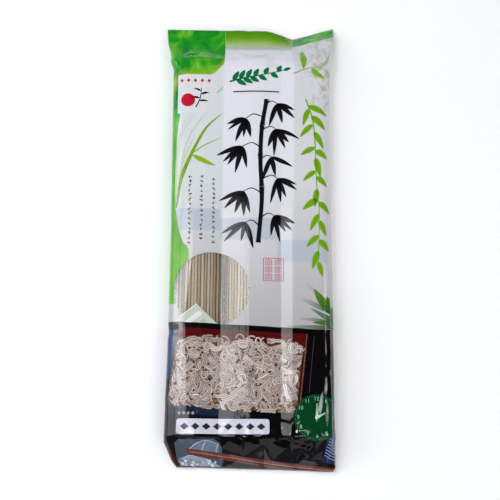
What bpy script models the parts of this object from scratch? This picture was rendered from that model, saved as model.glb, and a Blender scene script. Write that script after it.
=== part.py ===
"""Dried soba noodles in a sealed film pack that lies on its back.

One tube of printed film, sealed flat at both ends, is drawn tight over three bundles of straight noodles.
The film has a round clear window in its front. The window is left open here, so that the bundles show in it.

Sizes are in millimetres and become metres as each mesh is made. +Z is up, +Y runs to the top end of the
pack and +X to its right-hand edge. The origin lies on the surface that the pack rests on, under its middle.
"""

import math
import random

import bmesh
import bpy
from mathutils import Matrix, Vector

MM = 0.001
MERGE_DISTANCE = 0.001
SHARP_FROM = math.radians(30.0)

# Film tube
FLAT_WIDTH = 113.0
PACK_THICKNESS = 17.5
WALL = 0.5
END_ROOM = 0.4
SEAL_THICKNESS = 0.9
HALF_FLAT = FLAT_WIDTH / 2

# Ends of the pack, along Y
NOODLES_BOTTOM = -124.5
NOODLES_TOP = 113.5
TAPER_BOTTOM = -125.8
TAPER_TOP = 114.8
SEAL_START = 133.0
SEAL_END = 146.0
FOLD_EDGE = -144.8
NEAR_FOLD = -144.2
NEAR_FOLD_THICKNESS = 2.0
TUCKED_STRIP_END = -133.0
TUCKED_STRIP_THICKNESS = 0.8
TUCKED_STRIP_FLAT_HALF = 48.0
TUCKED_STRIP_FADE = 6.0

# Bundles of noodles
BUNDLE_CENTRES = {"left": -33.5, "middle": 1.0, "right": 34.4}
BUNDLE_WIDTH = 31.4
BUNDLE_THICKNESS = 15.2
BUNDLE_SQUARENESS = 3.0
NOODLE_WIDTH = 1.7
NOODLE_THICKNESS = 1.25
NOODLE_STANDS_PROUD = 0.75
NOODLE_PITCH = 1.98
NOODLE_END_SCATTER = 3.0
NOODLE_TWIST = math.radians(5.0)
NOODLE_SINKS = 0.2
CORE_SIDES = 36
CORE_SHORTER = 4.0
OUTLINE_STEPS = 2000

# Grid of the film: how finely its side rounds and its flats are divided, and its rows over the noodles
SIDE_STEPS = 6
COLUMN_WIDTH = 4.5
BODY_ROWS = [-118.0, -100.0, -80.0, -67.0, -63.0, -58.0, -22.0, 0.0, 45.0, 94.0]

# Window in the front
WINDOW_CENTRE = (-23.7, -37.2)
WINDOW_RADIUS = 24.0
WINDOW_CHORD_Y = -58.6
WINDOW_SIDES = 48

# Back seam, folded flat to one side
SEAM_LEFT = -1.0
SEAM_RIGHT = 9.0
SEAM_THICKNESS = 0.35
STEP = 0.3

# Each list below holds (place, value) knots, with straight lines between them.
THICKNESS_ALONG = [
    (FOLD_EDGE, SEAL_THICKNESS),
    (NEAR_FOLD, NEAR_FOLD_THICKNESS),
    (TAPER_BOTTOM, PACK_THICKNESS),
    (TAPER_TOP, PACK_THICKNESS),
    (SEAL_START, SEAL_THICKNESS),
    (SEAL_END, SEAL_THICKNESS),
]
LEFT_EDGE = [
    (FOLD_EDGE, 43.6),
    (-141.3, 46.6),
    (-129.5, 51.8),
    (-80.0, 51.0),
    (-67.0, 50.9),
    (-63.0, 50.3),
    (-58.0, 51.0),
    (0.0, 51.2),
    (94.0, 52.7),
    (TAPER_TOP, 52.9),
    (135.0, 57.2),
    (SEAL_END, 58.2),
]
RIGHT_EDGE = [
    (FOLD_EDGE, 50.6),
    (-142.0, 52.2),
    (-124.0, 51.8),
    (-100.0, 51.4),
    (90.0, 51.5),
    (TAPER_TOP, 52.6),
    (SEAL_START, 54.8),
    (SEAL_END, 55.4),
]
FRONT_SAG_ACROSS = [
    (-42.8, 0.0),
    (-30.0, 0.1),
    (-17.8, 1.6),
    (0.6, 0.0),
    (8.0, 0.1),
    (18.5, 1.3),
    (26.1, 0.0),
    (42.8, 0.0),
]
BACK_LIFT_ACROSS = [
    (-42.8, 0.0),
    (-28.0, 0.0),
    (-17.8, 1.0),
    (-10.0, SEAM_THICKNESS),
    (SEAM_LEFT - STEP, SEAM_THICKNESS),
    (SEAM_LEFT, 0.0),
    (SEAM_RIGHT, 0.0),
    (SEAM_RIGHT + STEP, SEAM_THICKNESS),
    (12.0, SEAM_THICKNESS),
    (18.5, 1.0),
    (27.0, 0.0),
    (42.8, 0.0),
]
SEAL_START_ACROSS = [(-56.5, 133.5), (20.0, 133.0), (28.0, 132.8), (56.5, 141.0)]
SEAL_END_ACROSS = [(-56.5, 146.2), (12.0, 145.9), (28.0, 142.9), (56.5, 151.0)]
SEAL_START_HEIGHT = 8.2
SEAL_END_HEIGHT_ACROSS = [(-56.5, 7.6), (10.0, 7.4), (28.0, 1.4), (56.5, 1.8)]
FOLD_EDGE_ACROSS = [(-44.0, -143.8), (0.0, -144.6), (24.0, -144.9), (50.0, -145.6)]
FOLD_HEIGHT = 3.0

# Gathers that the end seals press into the film: (place across, half width, height halfway down the taper)
GATHERS_END = 0.87
TOP_GATHERS = [(-40.0, 7.0, 0.7), (-22.0, 5.0, -0.8), (-6.0, 6.0, 0.7), (14.0, 5.0, -0.6), (40.0, 6.0, 0.8)]
BOTTOM_GATHERS = [(-38.0, 6.0, 1.2), (-22.0, 6.0, -1.0), (-6.0, 7.0, 1.3), (12.0, 6.0, -1.1), (27.0, 6.0, 1.2)]

# Loose fold of film down the right-hand side of the front
SIDE_FOLD_AT = 48.3
SIDE_FOLD_HALF_WIDTH = 2.8
SIDE_FOLD_HEIGHT_ALONG = [(-130.0, 0.0), (-118.0, 1.0), (-70.0, 0.8), (-22.0, 0.0)]

# The frame's origin is under the middle of the whole outline, and this takes the pack's own middle there.
PACK_TO_FRAME = Vector(
    (
        (LEFT_EDGE[-1][1] - RIGHT_EDGE[-1][1]) / 2,
        -(SEAL_END_ACROSS[-1][1] + FOLD_EDGE_ACROSS[-1][1]) / 2,
        0.0,
    )
)


def between(knots, place):
    """The value at a place, on the straight lines that join the knots."""
    if place <= knots[0][0]:
        return knots[0][1]
    for (start, low), (end, high) in zip(knots, knots[1:]):
        if place <= end:
            return low + (high - low) * (place - start) / (end - start)
    return knots[-1][1]


def spaced(knots, widest):
    """The knots in order, with even steps no wider than this between them."""
    ordered = sorted(set(knots))
    places = [ordered[0]]
    for start, end in zip(ordered, ordered[1:]):
        count = max(1, math.ceil((end - start) / widest))
        places += [start + (end - start) * step / count for step in range(1, count + 1)]
    return places


def ridge(distance, half_width):
    """A fold's height, from 1 on its crest to 0 at its foot."""
    return max(0.0, 1.0 - abs(distance) / half_width)


def flat_part(thickness):
    """Half the width of the flat part of a tube section. The girth is fixed, so a thick section is narrow."""
    return HALF_FLAT - math.pi * thickness / 4


def section(across, thickness):
    """Place and outward direction on the front half of a tube section, flat with round sides."""
    radius = thickness / 2
    flat_half = flat_part(thickness)
    angle = max(0.0, (abs(across) - flat_half) / radius)
    x = math.copysign(min(abs(across), flat_half) + radius * math.sin(angle), across)
    normal = Vector((math.copysign(math.sin(angle), across), 0.0, math.cos(angle)))
    return x, radius * math.cos(angle), normal


def end_share(along):
    """0 over the noodles, rising to 1 at either seal."""
    if along > TAPER_TOP:
        return min(1.0, (along - TAPER_TOP) / (SEAL_START - TAPER_TOP))
    return max(0.0, (TAPER_BOTTOM - along) / (TAPER_BOTTOM - FOLD_EDGE))


def front_relief(across, along):
    """How far the front stands above its plain section: the sag between bundles, gathers and the side fold."""
    ends = end_share(along)
    relief = -between(FRONT_SAG_ACROSS, across) * (1.0 - ends)
    gathers = TOP_GATHERS if along > 0 else BOTTOM_GATHERS
    strength = math.sin(math.pi * min(1.0, ends / GATHERS_END))
    relief += strength * sum(height * ridge(across - place, half) for place, half, height in gathers)
    relief += between(SIDE_FOLD_HEIGHT_ALONG, along) * ridge(across - SIDE_FOLD_AT, SIDE_FOLD_HALF_WIDTH)
    return relief


def back_relief(across, along):
    """How far the back stands out of its plain section: in between the bundles, out at the tucked strip."""
    relief = -between(BACK_LIFT_ACROSS, across) * (1.0 - end_share(along))
    if along <= TUCKED_STRIP_END - STEP:
        beyond = max(0.0, abs(across) - TUCKED_STRIP_FLAT_HALF)
        relief += TUCKED_STRIP_THICKNESS * ridge(beyond, TUCKED_STRIP_FADE)
    return relief


def middle_height(across, along):
    """Height of the tube's middle: half the pack over the noodles, lower at the fold and the drooping seal."""
    over_noodles = PACK_THICKNESS / 2
    if along > SEAL_START:
        share = (along - SEAL_START) / (SEAL_END - SEAL_START)
        edge = between(SEAL_END_HEIGHT_ACROSS, across)
        return SEAL_START_HEIGHT + (edge - SEAL_START_HEIGHT) * share
    end_height = SEAL_START_HEIGHT if along > 0 else FOLD_HEIGHT
    return over_noodles + (end_height - over_noodles) * end_share(along)


def place_along(across, along):
    """Y of a place on the film: neither the bottom fold nor the top seal runs square across."""
    if along < TAPER_BOTTOM:
        share = (TAPER_BOTTOM - along) / (TAPER_BOTTOM - FOLD_EDGE)
        return TAPER_BOTTOM + (between(FOLD_EDGE_ACROSS, across) - TAPER_BOTTOM) * share
    if along <= TAPER_TOP:
        return along
    start = between(SEAL_START_ACROSS, across)
    if along <= SEAL_START:
        return TAPER_TOP + (start - TAPER_TOP) * (along - TAPER_TOP) / (SEAL_START - TAPER_TOP)
    end = between(SEAL_END_ACROSS, across)
    return start + (end - start) * (along - SEAL_START) / (SEAL_END - SEAL_START)


def film_point(across, along, side, inset):
    """A point of the pouch. side is 1 on the front and -1 on the back, and inset goes inwards from the outer face."""
    thickness = between(THICKNESS_ALONG, along)
    x, height, normal = section(across, thickness)
    edge = between(LEFT_EDGE if across < 0 else RIGHT_EDGE, along)
    x *= edge / section(HALF_FLAT, thickness)[0]
    relief = (front_relief if side > 0 else back_relief)(across, along) - inset
    return Vector(
        (
            x + relief * normal.x,
            place_along(across, along),
            middle_height(across, along) + side * (height + relief * normal.z),
        )
    )


def finish(name, mesh, collection, material):
    """An object for a finished mesh, moved to the frame's origin."""
    mesh.transform(Matrix.Scale(MM, 4) @ Matrix.Translation(PACK_TO_FRAME))
    made = bpy.data.objects.new(name, mesh)
    collection.objects.link(made)
    if material:
        mesh.materials.append(material)
    return made


def apply_modifiers(made):
    """Puts what the modifiers make into the object's own mesh, shaded smooth but for its sharp edges."""
    graph = bpy.context.evaluated_depsgraph_get()
    graph.update()
    mesh = bpy.data.meshes.new_from_object(made.evaluated_get(graph))
    mesh.shade_smooth()
    mesh.set_sharp_from_angle(angle=SHARP_FROM)
    made.modifiers.clear()
    made.data = mesh


def pouch_mesh(name, columns, rows, inset):
    """A closed pouch: a front sheet and a back sheet, each a grid, joined round their edges."""
    shape = bmesh.new()
    for side in (1, -1):
        before = set(shape.verts)
        bmesh.ops.create_grid(shape, x_segments=len(columns) - 1, y_segments=len(rows) - 1, size=1.0)
        for vert in set(shape.verts) - before:
            column = round((vert.co.x + 1) / 2 * (len(columns) - 1))
            row = round((vert.co.y + 1) / 2 * (len(rows) - 1))
            vert.co = film_point(columns[column], rows[row], side, inset)
    bmesh.ops.bridge_loops(shape, edges=[edge for edge in shape.edges if edge.is_boundary])
    bmesh.ops.remove_doubles(shape, verts=shape.verts, dist=MERGE_DISTANCE)
    rising = [face for face in shape.faces if math.prod(face.calc_center_median().xy) > 0]
    falling = [face for face in shape.faces if math.prod(face.calc_center_median().xy) <= 0]
    bmesh.ops.triangulate(shape, faces=rising, quad_method="FIXED")
    bmesh.ops.triangulate(shape, faces=falling, quad_method="ALTERNATE")
    bmesh.ops.recalc_face_normals(shape, faces=shape.faces)
    mesh = bpy.data.meshes.new(name)
    shape.to_mesh(mesh)
    shape.free()
    return mesh


def window_cutter_mesh():
    """A round plug through the front sheet, flat where the print crosses the window's lower edge."""
    shape = bmesh.new()
    bmesh.ops.create_cone(
        shape,
        cap_ends=True,
        segments=WINDOW_SIDES,
        radius1=WINDOW_RADIUS,
        radius2=WINDOW_RADIUS,
        depth=PACK_THICKNESS,
        matrix=Matrix.Translation((*WINDOW_CENTRE, PACK_THICKNESS)),
    )
    bmesh.ops.bisect_plane(
        shape,
        geom=shape.verts[:] + shape.edges[:] + shape.faces[:],
        plane_co=(0.0, WINDOW_CHORD_Y, 0.0),
        plane_no=(0.0, -1.0, 0.0),
        clear_outer=True,
    )
    bmesh.ops.holes_fill(shape, edges=[edge for edge in shape.edges if edge.is_boundary])
    bmesh.ops.recalc_face_normals(shape, faces=shape.faces)
    mesh = bpy.data.meshes.new("window_cutter")
    shape.to_mesh(mesh)
    shape.free()
    return mesh


def cut(made, cutter):
    """Takes the cutter out of the object, by a Boolean that stays on it."""
    cutter.hide_render = True
    cutter.display_type = "WIRE"
    boolean = made.modifiers.new(cutter.name, "BOOLEAN")
    boolean.operation = "DIFFERENCE"
    boolean.object = cutter


def taper_row(start, end, end_thickness, column):
    """Where, along a taper, the round side of the section has drawn out past this column."""
    thickness = (HALF_FLAT - column) * 4 / math.pi
    return start + (end - start) * (PACK_THICKNESS - thickness) / (PACK_THICKNESS - end_thickness)


def film_bag(parts, cutters, material):
    """The printed pouch: a film wall round the noodles, with the window open."""
    flat_half = flat_part(PACK_THICKNESS)
    side = [flat_half + (HALF_FLAT - flat_half) * step / SIDE_STEPS for step in range(SIDE_STEPS + 1)]
    knots = [sign * place for sign in (-1, 1) for place in side]
    knots += [place for place, _ in FRONT_SAG_ACROSS[1:-1] + BACK_LIFT_ACROSS[1:-1]]
    columns = spaced(knots, COLUMN_WIDTH)
    rows = [FOLD_EDGE, TUCKED_STRIP_END - STEP, TUCKED_STRIP_END, TAPER_BOTTOM, *BODY_ROWS, TAPER_TOP]
    rows += [taper_row(TAPER_BOTTOM, NEAR_FOLD, NEAR_FOLD_THICKNESS, column) for column in side[1:-1]]
    rows += [taper_row(TAPER_TOP, SEAL_START, SEAL_THICKNESS, column) for column in side[1:-1]]
    rows += [NEAR_FOLD, *spaced([SEAL_START, SEAL_END], COLUMN_WIDTH)]
    rows.sort()
    bag = finish("film_bag", pouch_mesh("film_bag", columns, rows, 0.0), parts, material)

    inner_rows = [NOODLES_BOTTOM - END_ROOM, *BODY_ROWS, NOODLES_TOP + END_ROOM]
    inside = pouch_mesh("inside_cutter", columns, inner_rows, WALL)
    cut(bag, finish("inside_cutter", inside, cutters, None))
    cut(bag, finish("window_cutter", window_cutter_mesh(), cutters, None))
    apply_modifiers(bag)


def rounded_oblong(half_width, half_height, angle):
    """A point on the outline of a bundle's section."""
    power = 2 / BUNDLE_SQUARENESS
    cosine, sine = math.cos(angle), math.sin(angle)
    return Vector(
        (
            math.copysign(half_width * abs(cosine) ** power, cosine),
            0.0,
            math.copysign(half_height * abs(sine) ** power, sine),
        )
    )


def noodle_places():
    """Point and outward direction of each noodle round a bundle, one pitch apart."""
    half = NOODLE_THICKNESS / 2
    outline = [
        rounded_oblong(BUNDLE_WIDTH / 2 - half, BUNDLE_THICKNESS / 2 - half, math.tau * step / OUTLINE_STEPS)
        for step in range(OUTLINE_STEPS + 1)
    ]
    girth = sum((end - start).length for start, end in zip(outline, outline[1:]))
    count = int(girth / NOODLE_PITCH)
    places, travelled, due = [], 0.0, 0.0
    for start, end in zip(outline, outline[1:]):
        travelled += (end - start).length
        if travelled >= due and len(places) < count:
            tangent = (end - start).normalized()
            places.append((end, Vector((tangent.z, 0.0, -tangent.x))))
            due += girth / count
    return places


def noodle_bundle(name, centre, seed, parts, material):
    """One bundle: a plain core with every noodle of its outer layer fused on, their ends uneven."""
    draw = random.Random(seed)
    middle = Vector((centre, (NOODLES_BOTTOM + NOODLES_TOP) / 2, PACK_THICKNESS / 2))
    length = NOODLES_TOP - NOODLES_BOTTOM
    lying = Matrix.Rotation(math.pi / 2, 4, "X")

    core = bmesh.new()
    bmesh.ops.create_cone(
        core,
        cap_ends=True,
        segments=CORE_SIDES,
        radius1=1.0,
        radius2=1.0,
        depth=length - CORE_SHORTER,
        matrix=lying,
    )
    for vert in core.verts:
        reach = NOODLE_STANDS_PROUD
        angle = math.atan2(vert.co.z, vert.co.x)
        outline = rounded_oblong(BUNDLE_WIDTH / 2 - reach, BUNDLE_THICKNESS / 2 - reach, angle)
        vert.co = middle + Vector((outline.x, vert.co.y, outline.z))
    bmesh.ops.recalc_face_normals(core, faces=core.faces)
    mesh = bpy.data.meshes.new(name)
    core.to_mesh(mesh)
    core.free()
    bundle = finish(name, mesh, parts, material)

    loose = bpy.data.collections.new(name + "_noodles")
    bpy.context.scene.collection.children.link(loose)
    for number, (place, outward) in enumerate(noodle_places()):
        own_length = length - draw.uniform(0.0, NOODLE_END_SCATTER)
        slip = draw.uniform(-0.5, 0.5) * (length - own_length)
        turn = math.atan2(outward.x, outward.z) + draw.uniform(-NOODLE_TWIST, NOODLE_TWIST)
        sunk = outward * draw.uniform(0.0, NOODLE_SINKS)
        noodle = bmesh.new()
        bmesh.ops.create_cube(
            noodle,
            size=1.0,
            matrix=Matrix.Translation(middle + place - sunk + Vector((0.0, slip, 0.0)))
            @ Matrix.Rotation(turn, 4, "Y")
            @ Matrix.Diagonal((NOODLE_WIDTH, own_length, NOODLE_THICKNESS, 1.0)),
        )
        mesh = bpy.data.meshes.new(f"{name}_{number}")
        noodle.to_mesh(mesh)
        noodle.free()
        finish(mesh.name, mesh, loose, None)

    union = bundle.modifiers.new("noodles", "BOOLEAN")
    union.operation = "UNION"
    union.operand_type = "COLLECTION"
    union.collection = loose
    apply_modifiers(bundle)
    for noodle in list(loose.objects):
        bpy.data.objects.remove(noodle)
    bpy.data.collections.remove(loose)


def plain_material(name, colour, roughness):
    """A Principled material of one colour."""
    material = bpy.data.materials.new(name)
    material.use_nodes = True
    shader = material.node_tree.nodes["Principled BSDF"]
    shader.inputs["Base Color"].default_value = (*colour, 1.0)
    shader.inputs["Roughness"].default_value = roughness
    shader.inputs["Metallic"].default_value = 0.0
    material.diffuse_color = (*colour, 1.0)
    return material


def main():
    for old in list(bpy.data.objects):
        bpy.data.objects.remove(old)
    parts = bpy.data.collections.new("soba_noodle_pack")
    cutters = bpy.data.collections.new("cutters")
    for collection in (parts, cutters):
        bpy.context.scene.collection.children.link(collection)

    film_bag(parts, cutters, plain_material("printed_film", (0.72, 0.73, 0.76), 0.25))
    buckwheat = plain_material("dried_buckwheat_noodle", (0.47, 0.39, 0.28), 0.7)
    for seed, (side, centre) in enumerate(BUNDLE_CENTRES.items()):
        noodle_bundle("noodles_" + side, centre, seed, parts, buckwheat)


main()
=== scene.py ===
"""Looks of a film pack of dried soba noodles: printed laminate, a clear window, and real strands behind it.

Pack coordinates are in millimetres: X across the pack, Y along it, Z up from the surface it lies on.
Film coordinates follow the film instead: across runs round the tube from its middle line, and along runs
from the bottom fold to the top seal. A piece is shaped in one of these and then moved into the frame.
"""

import bisect
import math
import random

import bmesh
import bpy
from mathutils import Matrix, Vector, geometry, noise


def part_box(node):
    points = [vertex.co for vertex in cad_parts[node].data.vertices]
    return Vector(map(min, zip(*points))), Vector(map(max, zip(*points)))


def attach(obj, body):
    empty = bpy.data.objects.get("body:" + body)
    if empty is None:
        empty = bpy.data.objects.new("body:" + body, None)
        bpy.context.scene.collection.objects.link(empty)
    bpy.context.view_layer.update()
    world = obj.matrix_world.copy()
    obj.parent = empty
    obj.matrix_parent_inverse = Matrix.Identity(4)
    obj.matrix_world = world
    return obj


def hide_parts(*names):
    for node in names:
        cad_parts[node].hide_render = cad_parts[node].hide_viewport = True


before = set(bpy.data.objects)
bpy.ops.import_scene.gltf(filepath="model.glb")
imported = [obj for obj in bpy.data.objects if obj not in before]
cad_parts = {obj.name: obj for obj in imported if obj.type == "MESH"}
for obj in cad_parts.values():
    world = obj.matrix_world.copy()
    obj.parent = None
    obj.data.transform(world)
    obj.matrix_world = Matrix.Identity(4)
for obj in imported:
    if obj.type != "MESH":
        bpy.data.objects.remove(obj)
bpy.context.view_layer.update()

# Without a seed the noise starts from the clock
noise.seed_set(3)

MM = 0.001

# Camera: where it aims in the pack's own coordinates, its lean and roll in degrees, and its focal length
IMAGE_PIXELS = 500
FOCAL_PIXELS = 859.0
SENSOR_WIDTH = 36.0
CAMERA_AIM = Vector((-0.6, -9.5, 8.5))
CAMERA_DISTANCE = 546.0
CAMERA_LEAN = 15.0
CAMERA_ROLL = 0.5

# Film tube, as in the solids
FLAT_WIDTH = 113.0
HALF_FLAT = FLAT_WIDTH / 2
PACK_THICKNESS = 17.5
# No point of the film stands higher, so that the pack keeps its size
HIGHEST = 17.82
SEAL_THICKNESS = 0.4
TAPER_BOTTOM = -125.8
TAPER_TOP = 114.8
SEAL_START = 133.0
SEAL_END = 146.0
FOLD_EDGE = -144.8
NEAR_FOLD = -144.2
NEAR_FOLD_THICKNESS = 1.6
SEAL_START_HEIGHT = 8.2
FOLD_HEIGHT = 3.0
TUCKED_STRIP_END = -133.3
TUCKED_STRIP_THICKNESS = 0.5
SEAM_LEFT = -1.0
SEAM_RIGHT = 9.0
SEAM_MIDDLE = 4.0

# Each list holds (place, value) knots, with straight lines between them.
THICKNESS_ALONG = [
    (FOLD_EDGE, SEAL_THICKNESS), (NEAR_FOLD, NEAR_FOLD_THICKNESS), (TAPER_BOTTOM, PACK_THICKNESS),
    (TAPER_TOP, PACK_THICKNESS), (SEAL_START, SEAL_THICKNESS), (SEAL_END, SEAL_THICKNESS),
]
LEFT_EDGE = [
    (FOLD_EDGE, 43.6), (-141.3, 46.6), (-129.5, 51.8), (-80.0, 51.0), (-67.0, 50.9), (-63.0, 50.3),
    (-58.0, 51.0), (0.0, 51.2), (94.0, 52.7), (TAPER_TOP, 52.9), (135.0, 57.2), (SEAL_END, 58.2),
]
RIGHT_EDGE = [
    (FOLD_EDGE, 50.6), (-142.0, 52.2), (-124.0, 51.8), (-100.0, 51.4), (90.0, 51.5), (TAPER_TOP, 52.6),
    (SEAL_START, 54.8), (SEAL_END, 55.4),
]
FRONT_SAG_ACROSS = [
    (-42.8, 0.0), (-30.0, 0.1), (-19.0, 1.6), (-0.6, 0.0), (8.0, 0.1), (18.5, 1.3), (26.1, 0.0),
    (42.8, 0.0),
]
BACK_LIFT_ACROSS = [
    (-42.8, 0.0), (-28.0, 0.0), (-17.8, 1.0), (-10.0, 0.35), (SEAM_LEFT - 0.3, 0.35), (SEAM_LEFT, 0.0),
    (SEAM_RIGHT, 0.0), (SEAM_RIGHT + 0.3, 0.35), (12.0, 0.35), (18.5, 1.0), (27.0, 0.0), (42.8, 0.0),
]
SEAL_START_ACROSS = [(-56.5, 133.5), (20.0, 133.0), (28.0, 132.8), (56.5, 141.0)]
SEAL_END_ACROSS = [(-56.5, 146.2), (12.0, 145.9), (28.0, 142.9), (56.5, 151.0)]
SEAL_END_HEIGHT_ACROSS = [(-56.5, 7.6), (10.0, 7.4), (28.0, 1.4), (56.5, 1.8)]
FOLD_EDGE_ACROSS = [(-44.0, -143.8), (0.0, -144.6), (24.0, -144.9), (50.0, -145.6)]

# Gathers at the seals: (place across, half width, height halfway down the taper)
GATHERS_END = 0.87
BOTTOM_GATHERS_SHARE = 0.15
TOP_GATHERS = [(-40.0, 7.0, 0.7), (-22.0, 5.0, -0.8), (-6.0, 6.0, 0.7), (14.0, 5.0, -0.6), (40.0, 6.0, 0.8)]
BOTTOM_GATHERS = [
    (-38.0, 6.0, 1.2), (-22.0, 6.0, -1.0), (-6.0, 7.0, 1.3), (12.0, 6.0, -1.1), (27.0, 6.0, 1.2),
]

# Facets that the film has creased into at the foot, as corners: (across, along, height over a straight taper)
FOOT_FACETS = [
    (-57.0, -120.0, 0.0), (-30.0, -119.0, 0.0), (-10.0, -120.0, 0.0), (12.0, -119.0, 0.0),
    (26.0, -118.5, 0.0), (40.0, -120.0, 0.0), (57.0, -120.0, 0.0), (-57.0, -144.8, 0.0),
    (-20.0, -144.8, 0.0), (10.0, -144.8, 0.0), (30.0, -144.8, 0.0), (57.0, -144.8, 0.0),
    (-48.0, -127.0, 0.0), (-38.0, -133.0, 1.4), (-30.0, -139.0, 2.2), (-24.0, -131.0, 1.5),
    (-20.0, -126.5, 0.2), (-22.0, -137.0, 1.6), (-16.0, -125.4, 0.0), (-8.0, -124.6, 0.3),
    (-7.4, -131.0, 2.4), (-4.6, -129.6, 0.9), (-3.6, -125.0, 0.1), (-2.6, -128.8, 1.9),
    (0.2, -125.2, 0.0), (-14.5, -134.0, 3.1), (-3.7, -138.0, 4.1), (15.0, -140.0, 4.6),
    (18.6, -136.0, 3.65), (22.3, -132.5, 2.7), (2.0, -129.6, 2.1), (8.2, -130.6, 2.3),
    (13.0, -129.1, 2.45), (24.0, -128.6, -0.3), (27.5, -122.5, -1.2), (34.3, -128.6, 1.1),
    (35.3, -132.0, 1.2), (28.0, -137.4, 0.8), (40.5, -128.6, 0.3), (45.2, -128.6, 0.3),
    (42.6, -132.0, 1.2), (36.4, -138.8, 2.8), (33.8, -137.9, 2.5), (49.4, -127.1, 0.5),
    (50.4, -133.5, 1.2), (43.6, -134.5, 0.6), (45.0, -139.0, 1.9), (51.0, -140.0, 0.8),
    (24.0, -141.5, 2.6), (-40.0, -140.0, 1.0),
]
FOOT_FACETS_START = -119.0

# Fine crumpling, as (height, size of the facets, seed)
CRUMPLED_ENDS = [(0.34, 12.0, 3), (0.12, 5.0, 4)]
CRUMPLED_HEAD = [(0.2, 8.0, 5), (0.08, 3.5, 6)]

# The film stays full a little past the tops of the noodles
FULL_HEAD = 120.5
FULL_HEAD_REACH = 4.0
FULL_HEAD_HEIGHT = 1.7

# The loose edge on the right stands up in a fold: its crest, its left and right flanks, and its height
EDGE_FOLD = 48.0
EDGE_FOLD_LEFT = 3.0
EDGE_FOLD_RIGHT = 2.2
EDGE_FOLD_HEIGHT = 2.15

# Straight folds and dents at the foot's right, as (start, end, left flank, right flank, height)
FOLDS = [
    ((46.0, -99.0), (42.5, -112.5), 1.8, 2.8, 0.4),
    ((43.2, -99.5), (39.7, -113.0), 2.8, 3.6, -0.8),
    ((41.0, -113.5), (46.0, -124.0), 1.6, 2.6, 0.4),
    ((38.4, -114.0), (43.4, -125.0), 2.6, 3.4, -0.7),
    ((30.5, -117.0), (24.0, -126.0), 0.9, 1.2, 0.3),
]

# Crease between the front's flat and its left side, as (along, across) knots
LEFT_CREASE = [
    (-130.0, -36.5), (-105.0, -37.5), (-60.0, -41.0), (-51.0, -41.0), (-14.0, -37.0), (20.0, -38.5),
    (60.0, -40.0), (110.0, -41.5),
]
LEFT_CREASE_SLOPE = 0.095

# Grid of the film: both sheets share it, and its rows are closer at the creased ends
COLUMN_STEP = 0.8
ROW_STEP_ENDS = 0.8
ROW_STEP_MIDDLE = 1.5
CREASED_FOOT = -98.0
CREASED_HEAD = 106.0

# Points this close to a cut count as on it, and points of the two sheets this close are one
CUT_REACH = 0.0005
WELD_REACH = 0.0001

# Window
WINDOW_CENTRE = Vector((-24.1, -37.0))
WINDOW_RADIUS = 23.5
WINDOW_SIDES = 72
TRAY_EDGE_LEFT = Vector((-57.0, -57.0))
TRAY_EDGE_RIGHT = Vector((57.0, -62.2))

# Paper bands round the bundles, as (left, bottom, right, top)
PAPER_BANDS = [(-47.8, 1.0, -19.6, 15.4), (-19.6, -4.8, 16.6, 9.2), (16.6, -19.2, 48.0, -5.0)]

# Edges of the printed green: its foot as (across, along) knots, and the strip's edge as (along, across)
GREEN_FIELD_FOOT = [
    (-75.0, 100.0), (-52.0, 104.0), (-44.0, 107.4), (-27.0, 107.6), (-22.0, 112.0), (-18.0, 118.0),
]
GREEN_STRIP_EDGE = [
    (-60.0, -47.0), (-46.0, -47.0), (-38.0, -47.4), (-30.0, -45.5), (-22.0, -41.0), (-14.5, -38.8),
    (-7.0, -42.8), (3.0, -46.4), (15.0, -48.6), (28.0, -49.4), (42.0, -49.2), (58.0, -48.6),
    (70.0, -47.8), (80.0, -46.2), (90.0, -44.0), (116.0, -43.0),
]
# A place past every edge of the film
FAR = 300.0

# Bundles of noodles, as (side, centre, seed, paleness)
BUNDLES = [("left", -33.5, 11, 0.62), ("middle", 1.0, 12, 0.86), ("right", 34.4, 13, 0.7)]
BUNDLE_WIDTH = 31.4
BUNDLE_THICKNESS = 15.2
BUNDLE_SQUARENESS = 3.0
OUTLINE_STEPS = 2000
NOODLES_BOTTOM = -124.5
NOODLES_TOP = 113.5
STRAND_WIDTH = 1.72
STRAND_THICKNESS = 1.3
# Layers of a bundle, as (depth, spacing), and the depth of the core under them
STRAND_LAYERS = [(0.62, 1.93), (1.75, 1.8), (2.9, 1.8)]
CORE_DEPTH = 3.2
# Strands that have slipped out, as (place right of the bundle, height from its middle), drawn in the darkest
# tone as painted shade in the gap between bundles
SLIPPED_STRANDS_PAINTED_DARK = [(0.7, -1.6), (1.9, -2.4), (2.6, -1.2)]

# Inks, as sRGB hex: brushed black, and the greyer black of the finest motifs
BLACK_INK = "#09090B"
FINE_INK = "#34343C"

# From the frame: where the pack's own coordinates lie
film_low, film_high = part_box("film_bag")
PACK_TO_FRAME = Vector(
    (
        film_low.x / MM + LEFT_EDGE[-1][1],
        film_high.y / MM - SEAL_END_ACROSS[-1][1],
        0.0,
    )
)
TO_FRAME = Matrix.Scale(MM, 4) @ Matrix.Translation(PACK_TO_FRAME)


def between(knots, place):
    """The value at a place, on the straight lines that join the knots."""
    if place <= knots[0][0]:
        return knots[0][1]
    for (start, low), (end, high) in zip(knots, knots[1:]):
        if place <= end:
            return low + (high - low) * (place - start) / (end - start)
    return knots[-1][1]


def spaced(knots, widest):
    """The knots in order, with even steps no wider than this between them."""
    ordered = sorted(set(knots))
    places = [ordered[0]]
    for start, end in zip(ordered, ordered[1:]):
        count = max(1, math.ceil((end - start) / widest - 0.01))
        places += [start + (end - start) * step / count for step in range(1, count + 1)]
    return places


def ridge(distance, half_width):
    """A fold's height, from 1 on its crest to 0 at its foot."""
    return max(0.0, 1.0 - abs(distance) / half_width)


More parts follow.
